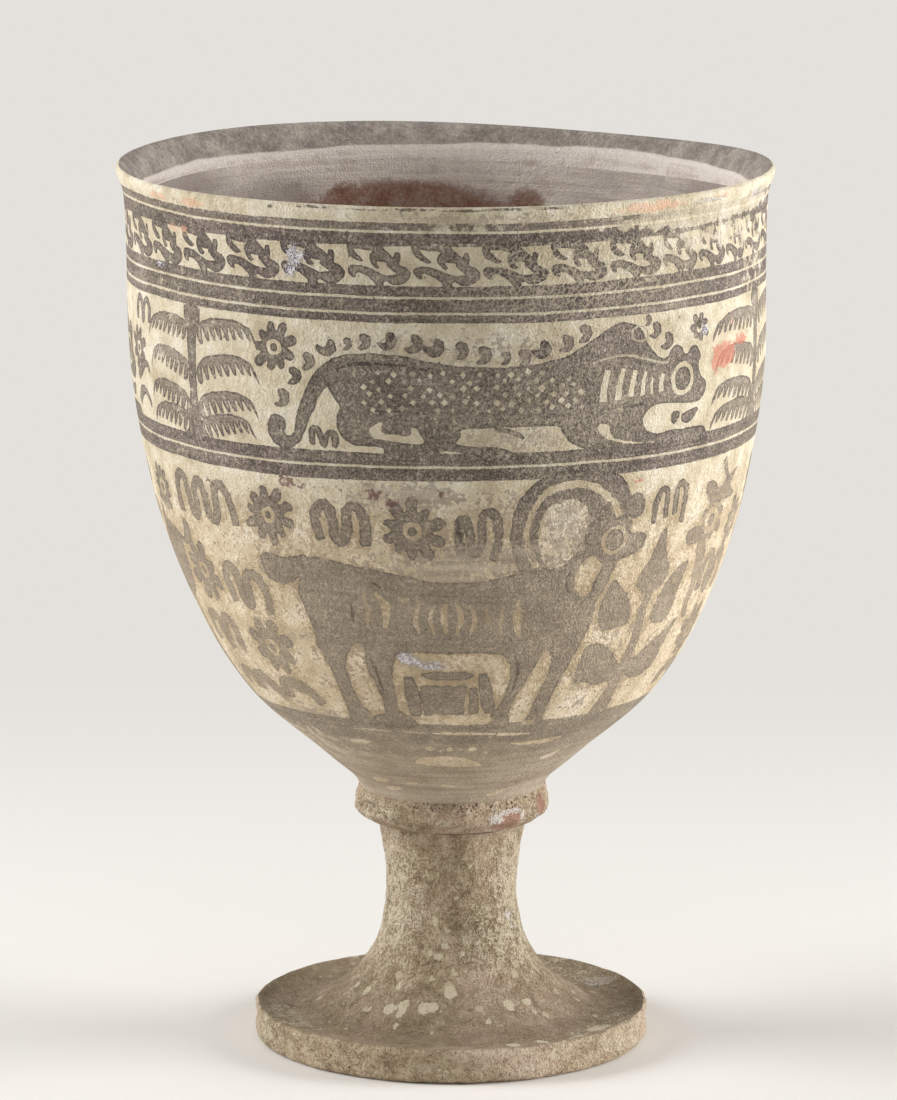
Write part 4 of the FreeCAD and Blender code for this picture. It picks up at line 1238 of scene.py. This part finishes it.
# %% Inner slip
def inner_slip(name):
    clay = Clay(name)
    add, mm = clay.add, clay.mm
    broad, blotch, grit, fine = (
        add("TexNoise", {"Vector": mm, "Scale": 1 / wide, "Detail": detail, "Roughness": rough})
        for wide, detail, rough in ((30, 4, 0.5), (7, 5, 0.65), (1.1, 4, 0.7), (0.5, 1, 0.5)))
    level = add("VectorMath", (mm, (0.025, 0.025, 0.6)), operation="MULTIPLY")
    streak = add("TexNoise", {"Vector": level, "Scale": 1, "Detail": 5, "Roughness": 0.65})
    grain = add("Math", (fine, 0.8, grit), operation="MULTIPLY_ADD")
    shade = add("MapRange", (grain, 0.7, 1.1, 0.91, 1.09))
    edge = add("Math", (broad, 4, clay.height), operation="MULTIPLY_ADD")
    edge = add("Math", (grit, 0.9, edge), operation="MULTIPLY_ADD")
    band = add("MapRange", (edge, 245.9, 246.4))
    line = add("MapRange", (edge, 244.2, 245, 0, 0.75))
    mixed = add("Math", (streak, blotch), operation="ADD")
    slip = stops(add("ValToRGB", (mixed,), None), (
        (0.7, "c2b4aa"), (0.92, "d5c8be"), (1.15, "e2d7cd")))
    stain = add("Attribute", out="Fac", attribute_name="stain_inside")
    for part, share in ((blotch, 0.9), (grit, 1.1)):
        stain = add("Math", (part, share, stain), operation="MULTIPLY_ADD")
    stain = add("MapRange", (stain, 1.3, 1.66, 0, 0.9))
    cloud = add("Math", (grit, 0.6, blotch), operation="MULTIPLY_ADD")
    damp = stops(add("ValToRGB", (cloud,), None), (
        (0.62, "6b3d2c"), (0.8, "8b5f4b"), (0.95, "a08a7a")))
    # Painted shade with some dirt: the inside wall is darkened at the sides and low at the back, where its
    # spots lie.
    shade_and_dirt = add("Attribute", out="Fac", attribute_name="shade_and_dirt_inside")
    for part, share in ((blotch, 1.2), (grit, 0.5)):
        shade_and_dirt = add("Math", (part, share, shade_and_dirt), operation="MULTIPLY_ADD")
    shade_and_dirt = add("MapRange", (shade_and_dirt, 1.1, 1.7, 0, 0.7))
    dark = stops(add("ValToRGB", (cloud,), None), (
        (0.56, "7a716a"), (0.76, "998e85"), (0.98, "b8ada2")))
    base = slip
    for mask, tint in ((line, colour("eadfd4")), (shade_and_dirt, colour("82756d")), (stain, damp), (band, dark)):
        base = add("Mix", {"Factor": mask, "A": base, "B": tint}, "Result", data_type="RGBA")
    base = add("VectorMath", {0: base, "Scale": shade}, operation="SCALE")
    relief = add("Math", (streak, 1.2, grain), operation="MULTIPLY_ADD")
    return clay.finish(base, 0.84, relief, 0.45)


# %% [markdown]
# ## Bare clay
# The collar, stem and foot have lost nearly all their slip. The buff-brown clay shows, with pale flecks of
# slip, round spots of lime, dark pits, and soil with painted shade darkening the faces that look up.

# %% Bare clay
def bare_clay(name, tones=("79684f", "b19d80", "dccdb1")):
    clay = Clay(name)
    add, mm = clay.add, clay.mm
    broad, patch, grit, fine = (
        add("TexNoise", {"Vector": mm, "Scale": 1 / wide, "Detail": detail, "Roughness": rough})
        for wide, detail, rough in ((20, 3, 0.5), (3.4, 5, 0.66), (0.9, 3, 0.7), (0.42, 1, 0.5)))
    grain = add("Math", (fine, 0.9, grit), operation="MULTIPLY_ADD")
    mixed = add("Math", (patch, 1.2, grain), operation="MULTIPLY_ADD")
    mixed = add("Math", (broad, 0.8, mixed), operation="MULTIPLY_ADD")
    mixed = add("MapRange", (mixed, 1.5, 2.4))
    base = stops(add("ValToRGB", (mixed,), None), (
        (0.1, tones[0]), (0.5, tones[1]), (0.9, tones[2])))
    purple = add("VectorMath", (base, (1, 0.95, 1)), operation="MULTIPLY")
    warm = add("MapRange", (broad, 0.46, 0.6))
    base = add("Mix", {"Factor": warm, "A": base, "B": purple}, "Result", data_type="RGBA")

    # Painted shade and settled soil: the faces that look up are darkened towards a soil-brown.
    facing = add("NewGeometry", out="Normal")
    facing = add("SeparateXYZ", (facing,), "Z")
    facing_up_shade = add("MapRange", (facing, 0.55, 0.92, 0, 0.6))
    soil_and_shade = colour("73644f")
    base = add("Mix", {"Factor": facing_up_shade, "A": base, "B": soil_and_shade}, "Result", data_type="RGBA")

    torn = add("Math", (patch, 0.7, grit), operation="MULTIPLY_ADD")
    torn = add("Math", (fine, 0.4, torn), operation="MULTIPLY_ADD")
    left = add("Attribute", out="Fac", attribute_name="slip_left")
    slip = add("Math", (left, 0.45, torn), operation="MULTIPLY_ADD")
    slip = add("MapRange", (slip, 1.26, 1.44, 0, 0.75))

    bent = add("VectorMath", (grit, (1.6, 1.6, 1.6), mm), operation="MULTIPLY_ADD")
    lime = add("TexVoronoi", {"Vector": bent, "Scale": 1 / 4.6, "Randomness": 1}, None)
    chosen = add("SeparateColor", (lime.outputs["Color"],))
    spots = add("Attribute", out="Fac", attribute_name="lime")
    chosen = add("Math", (chosen, spots), operation="MULTIPLY")
    chosen = add("MapRange", (chosen, 0.4, 1, 0, 0.4))
    near = add("Math", (patch, 0.5, lime.outputs["Distance"]), operation="MULTIPLY_ADD")
    near = add("Math", (near, chosen), operation="SUBTRACT")
    spot = add("MapRange", (near, 0.24, 0.3, 0.7, 0))
    pits = add("TexVoronoi", {"Vector": mm, "Scale": 1 / 1.3, "Randomness": 1}, "Distance")
    dark = add("Attribute", out="Fac", attribute_name="dark")
    dark = add("Math", (dark, 0.3, 0.07), operation="MULTIPLY_ADD")
    pit = add("Math", (dark, pits), operation="SUBTRACT")
    pit = add("MapRange", (pit, 0, 0.1, 0, 0.75))
    for mask, tint in (
        (slip, "ddd1b6"), (spot, "d2c4a6"), (ragged(clay, "blotch", grit, 0.9, 1.1), "dbcfb3"),
        (ragged(clay, "rust", grit, 0.75, 1.2), "a07463"),
        (ragged(clay, "crust", fine, 0.85, 1.2), "e3ded8"), (pit, "4f4335"),
        (ragged(clay, "crack", grit, 0.85, 1), "45392c"),
    ):
        tint = colour(tint)
        base = add("Mix", {"Factor": mask, "A": base, "B": tint}, "Result", data_type="RGBA")
    relief = add("Math", (patch, 2.2, grain), operation="MULTIPLY_ADD")
    for part, rise in ((spot, 0.25), (slip, 0.2), (pit, -0.9)):
        relief = add("Math", (part, rise, relief), operation="MULTIPLY_ADD")
    return clay.finish(base, 0.87, relief, 0.75)


painted = painted_slip("painted_cream_slip_on_earthenware")
inner = inner_slip("inner_slip_on_earthenware")
bare = bare_clay("bare_weathered_earthenware")
foot_clay = bare_clay("foot_earthenware", ("84715a", "bda98a", "e4d6bd"))
slurry = bare_clay("clay_slurry", ("6c5d49", "9c8870", "bdab90"))
finish_piece(wall_mesh, "painted_bowl_wall", (painted, inner), "bowl_wall")

# %% [markdown]
# ## Lip, floor, collar, stem and foot
# Each stands for one node of the model and keeps its place.

# %% Lip
LIP = (
    (89.62, 240), (89.62, 240), (89.9, 242.5), (90.5, 245), (91.3, 247), (91.7, 248.4), (91.55, 249.5),
    (91, 249.95), (90.2, 249.65), (88.7, 248.2), (87, 245.9), (85.6, 243.2), (84.6, 240), (84.6, 240),
)
LIP_CREST = 90.9
lip = turned(LIP, 0.7)
for f in lip.faces:
    middle = f.calc_center_median() / MM
    radius = math.hypot(middle.x, middle.y)
    if radius < 89.3 or (radius < LIP_CREST and middle.z > 247.6):
        f.material_index = 1
age(lip, 0.1, 3, calm=(240, 243), chips=(
    (-18, 249.6, 4, 0.5), (31, 249.4, 5, 0.4), (8, 249.5, 3.5, 0.5), (-160, 249.5, 4, 0.6)))
LIP_MARKS = {
    "blush": ((36, 247.6, 11, 1.6, 0.8), (-60, 247, 5, 1.2, 0.8), (-49, 247, 4.5, 1.4, 0.8),
              (54, 248, 5, 1, 0.6), (120, 248, 14, 1.4, 0.8)),
    "fade": ((54, 244, 36, 3.4, 1), (2, 245, 14, 2.4, 0.55), (-150, 244, 40, 6, 0.7)),
    "soil_and_shade": ((4, 246.6, 30, 2, 0.55), (30, 245, 20, 1.6, 0.5)),
    "crust": ((70, 246, 10, 1.6, 0.5), (50, 247.4, 9, 1, 0.5)),
    "crack": ((-24, 249.2, 7, 0.5, 0.6), (-15, 249, 7, 0.5, 0.64), (-6, 249.3, 7, 0.5, 0.64),
              (2, 249, 6, 0.55, 0.7), (9, 249.3, 6, 0.5, 0.66), (17, 249.2, 6, 0.5, 0.6),
              (-32, 248.6, 1.6, 0.9, 0.72)),
}
store_spots(lip, LIP_MARKS)
finish_piece(lip, "turned_out_lip", (painted, inner), "rim_lip")

# %% Floor of the bowl
FLOOR = (
    (0, 76.4), (6, 76), (13, 75.8), (20.2, 76.4), (20.2, 76.4), (23.3, 73.6), (23.4, 73), (23.4, 67),
    (23.4, 67), (0, 67),
)
FLOOR_STEPS = 96
floor_mesh = age(turned(FLOOR, closed=False, steps=FLOOR_STEPS), 0.05, 4)
finish_piece(floor_mesh, "bowl_floor", (inner,), "bowl_base")

# %% Collar
COLLAR = (
    (20.6, 62.6), (20.6, 62.6), (23.2, 63.4), (26, 64.8), (27.5, 66.6), (27.75, 68.2), (27.3, 70.2),
    (26.6, 71.8), (26.1, 73), (26.1, 73), (23.8, 73), (23.8, 73), (23.8, 66.6), (20.6, 66.6), (20.6, 66.6),
)
COLLAR_GROOVE = tuple(
    (a, 65.2 + (5 * ease(-10, -75, a) if a < -10 else 0), 2, 0.85) for a in range(-75, 42, 3))
collar = age(turned(COLLAR, 0.7), 0.3, 1.8, 0.8, chips=COLLAR_GROOVE + (
    (-62, 69.5, 4.5, 1), (-20, 70.8, 4, 0.8), (18, 71.5, 5, 0.9), (52, 66.5, 4.5, 0.9), (70, 70, 5, 0.8)))
COLLAR_MARKS = {
    "rust": ((36, 66.8, 5.4, 2.8, 0.95), (68.5, 68.6, 4, 3.2, 0.9), (-48, 65.8, 6, 1.6, 0.5)),
    "crust": ((48, 67.6, 1.6, 1.5, 0.62), (27, 68.2, 2.6, 2, 0.66), (62, 66.6, 1.6, 1, 0.6),
              (38, 69.6, 6, 1, 0.62)),
    "dark": ((10, 72, 26, 1.6, 0.8), (45, 71.6, 14, 1.6, 0.9), (-50, 71.8, 10, 1.2, 0.4)),
    "slip_left": ((-60, 69, 14, 4, 0.7), (70, 68, 10, 4, 0.6), (-5, 67.6, 3, 1.2, 0.8)),
    "lime": ((-30, 68, 20, 4, 0.5),),
    "crack": ((10, 63.6, 14, 0.25, 0.8),) + tuple(
        (a, 65 + 5 * ease(-10, -75, a), 1.7, 0.7, 0.54) for a in range(-68, -24, 5)),
}
store_spots(collar, COLLAR_MARKS)
finish_piece(collar, "collar_ring_aged", (bare,), "collar_ring")

# %% Stem
STEM_OUTLINE = (
    (44.6, 8.05), (44.6, 8.05), (42, 8.75), (38.6, 9.7), (35.1, 12), (32.2, 14), (29.8, 16), (27.7, 18),
    (25.8, 20), (23, 24), (21.2, 28), (19.9, 32), (19.1, 36), (18.6, 40), (18.45, 44), (18.6, 48), (19, 52),
    (19.5, 56), (20.3, 60), (20.6, 62.6), (20.6, 66), (20.6, 66), (11.5, 66), (11.5, 66), (11.5, 45),
    (11.8, 32), (15, 23), (19.9, 18), (25, 13), (30.5, 8.6), (30.5, 8.6),
)
STEM_MARKS = {
    "slip_left": ((-68, 42, 14, 24, 0.75), (70, 42, 12, 24, 0.7), (-150, 40, 22, 16, 0.7),
                  (32, 32, 8, 12, 0.6)),
    "lime": ((2, 24, 24, 16, 0.95), (-60, 16, 40, 14, 0.8), (120, 20, 60, 18, 0.9),
             (60, 14, 30, 8, 0.8)),
    "crust": ((58, 37, 2.4, 1.6, 0.64), (61, 33.4, 1.4, 1.4, 0.6), (14, 36.6, 3, 0.6, 0.5)),
    "dark": ((20, 30, 12, 12, 0.25), (0, 55, 12, 6, 0.2)),
    "blotch": (
        (-68, 16.9, 0.9, 0.9, 1), (-55.5, 16.6, 1.1, 1.1, 1), (-34.5, 19.3, 1, 0.9, 1),
        (-33.5, 14, 1.8, 1.1, 1), (-26.5, 15.1, 1.5, 1.3, 1), (-26.5, 13.2, 1.1, 0.7, 1),
        (-14.5, 15.1, 1.8, 1.3, 1), (-10, 15.4, 1.5, 1.1, 1), (-1, 18.7, 1.7, 1.5, 1),
        (1.5, 23.7, 1.1, 1.1, 0.7), (-13, 22, 1, 1, 0.8), (31, 15.1, 1.5, 1.2, 1),
        (42.5, 15.1, 1.7, 0.8, 1), (43, 12.8, 1, 0.7, 0.9), (-25.5, 10.8, 1, 0.6, 0.9),
        (-44.5, 13, 0.9, 0.7, 0.8), (17, 12.2, 1, 0.7, 0.8), (-10.5, 27.6, 1.5, 1.1, 0.8),
        (-17, 28.4, 1.2, 1, 0.8), (7.5, 28.4, 1.3, 0.9, 0.7), (-14.5, 37.2, 1.2, 1.6, 0.8),
        (-3.5, 34.8, 1.2, 1, 0.75), (-6, 30.4, 1.7, 0.9, 0.8), (4, 43.6, 1, 0.9, 0.7),
        (-31.5, 46.4, 0.9, 0.9, 0.8), (12, 31.2, 2.2, 0.9, 0.7), (16, 53.2, 0.7, 0.7, 0.8),
    ),
}
stem_mesh = store_spots(age(turned(STEM_OUTLINE, 1.2), 0.22, 2.2, 0.45), STEM_MARKS)
finish_piece(stem_mesh, "hollow_stem_aged", (bare,), "stem")

# %% Foot
FOOT_OUTLINE = (
    (42, 0), (42, 0), (48, 0), (53.8, 0), (53.8, 0), (55.3, 0.9), (55.8, 2.6), (55.4, 4.3), (54.9, 5.4),
    (55.2, 6.6), (55.7, 8.2), (55.6, 9.4), (54.9, 10), (53.8, 9.8), (52.8, 9.2), (50, 8.6), (44, 8),
    (38, 8), (30.5, 8), (30.5, 8), (34, 4.6), (39, 1.4),
)
FOOT_MARKS = {
    "slip_left": ((-72, 6, 16, 7, 0.6), (62, 6, 16, 6, 0.6), (150, 9, 40, 12, 0.5),
                  (0, 5, 50, 3, 0.25)),
    "lime": ((20, 9, 26, 3, 0.95), (-6, 9, 16, 3, 0.8), (180, 9, 60, 6, 0.9),
             (36, 5, 12, 4, 0.7)),
    "dark": ((-34, 3.6, 10, 3, 0.5), (20, 2, 30, 1.4, 0.4), (60, 5, 20, 3, 0.25)),
    "crust": ((119, 8.3, 4, 1, 0.5),),
    "blotch": ((21.5, 8.2, 1.6, 0.8, 0.9), (32, 8.3, 1.6, 0.4, 0.7), (30.5, 6.6, 1.8, 1.5, 0.8),
               (56.5, 8.6, 5, 0.5, 0.7), (43.5, 8.9, 4, 0.4, 0.8), (-2, 4, 3, 1.2, 0.55),
               (-12, 5, 2.6, 1, 0.5), (22, 3, 1.2, 1, 0.6)),
}
foot_mesh = age(turned(FOOT_OUTLINE, 0.9), 0.22, 2, 0.45, chips=(
    (-40, 9.6, 3.5, 0.5), (12, 1, 4, 0.7), (38, 6, 5, 0.6), (-8, 5.5, 4, 0.5)))
store_spots(foot_mesh, FOOT_MARKS)
finish_piece(foot_mesh, "foot_ring_aged", (foot_clay,), "foot_disc")
for node in ("stem_luting", "foot_luting"):
    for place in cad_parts[node].material_slots:
        place.material = slurry
        print(node, "keeps its shape and gets", slurry.name)

# %% [markdown]
# ## Studio
# A plain pale floor, and two wide soft lamps at the sides, as in a museum studio. They leave the middle of
# the bowl a little darker than its cheeks.

# %% Floor, lamps and world
STUDIO_REACH = 6
EVEN_FROM, EVEN_FULL = 0.18, 0.6
LAMP_SIZE = (0.7, 0.9)
LAMP_AIM = (0, 0, 0.14)
floor_mesh = bpy.data.meshes.new("studio_floor")
bm = bmesh.new()
bmesh.ops.create_grid(bm, x_segments=1, y_segments=1, size=STUDIO_REACH)
bm.to_mesh(floor_mesh)
bm.free()
floor = bpy.data.objects.new("studio_floor", floor_mesh)
bpy.context.scene.collection.objects.link(floor)


def seen_directly(tree):
    """1 for what the camera sees straight, reflected or through glass, and 0 for light on the object."""
    rays = put(tree, "LightPath", out=None).outputs
    seen = put(tree, "Math", (rays["Is Camera Ray"], rays["Is Glossy Ray"]), operation="MAXIMUM")
    return put(tree, "Math", (seen, rays["Is Transmission Ray"]), operation="MAXIMUM")


pale = bpy.data.materials.new("pale_floor")
pale.use_nodes = True
tree = pale.node_tree
tree.nodes.clear()
lit = put(tree, "BsdfPrincipled", {"Base Color": colour("f0ede8"), "Roughness": 0.9})
even = put(tree, "Emission", {"Color": colour("e4e1dc"), "Strength": 1})
place = put(tree, "TexCoord", out="Object")
apart = put(tree, "VectorMath", (place,), "Value", operation="LENGTH")
apart = put(tree, "MapRange", (apart, EVEN_FROM, EVEN_FULL), interpolation_type="SMOOTHSTEP")
apart = put(tree, "Math", (apart, seen_directly(tree)), operation="MULTIPLY")
both = put(tree, "MixShader", (apart, lit, even))
put(tree, "OutputMaterial", {"Surface": both}, None)
floor_mesh.materials.append(pale)


def lamp(name, place, power):
    data = bpy.data.lights.new(name, "AREA")
    data.shape = "RECTANGLE"
    data.size, data.size_y = LAMP_SIZE
    data.energy = power
    made = bpy.data.objects.new(name, data)
    made.location = place
    made.rotation_euler = (Vector(LAMP_AIM) - Vector(place)).to_track_quat("-Z", "Y").to_euler()
    bpy.context.scene.collection.objects.link(made)


lamp("left_softbox", (-1.3, -0.03, 0.72), 19)
lamp("right_softbox", (1.3, -0.03, 0.42), 21.3)
world = bpy.data.worlds.new("studio")
world.use_nodes = True
bpy.context.scene.world = world
tree = world.node_tree
tree.nodes.clear()
soft = put(tree, "Background", {"Color": colour("ffffff"), "Strength": 0.33})
white = put(tree, "Background", {"Color": colour("ffffff"), "Strength": 1})
both = put(tree, "MixShader", (seen_directly(tree), soft, white))
put(tree, "OutputWorld", {"Surface": both}, None)
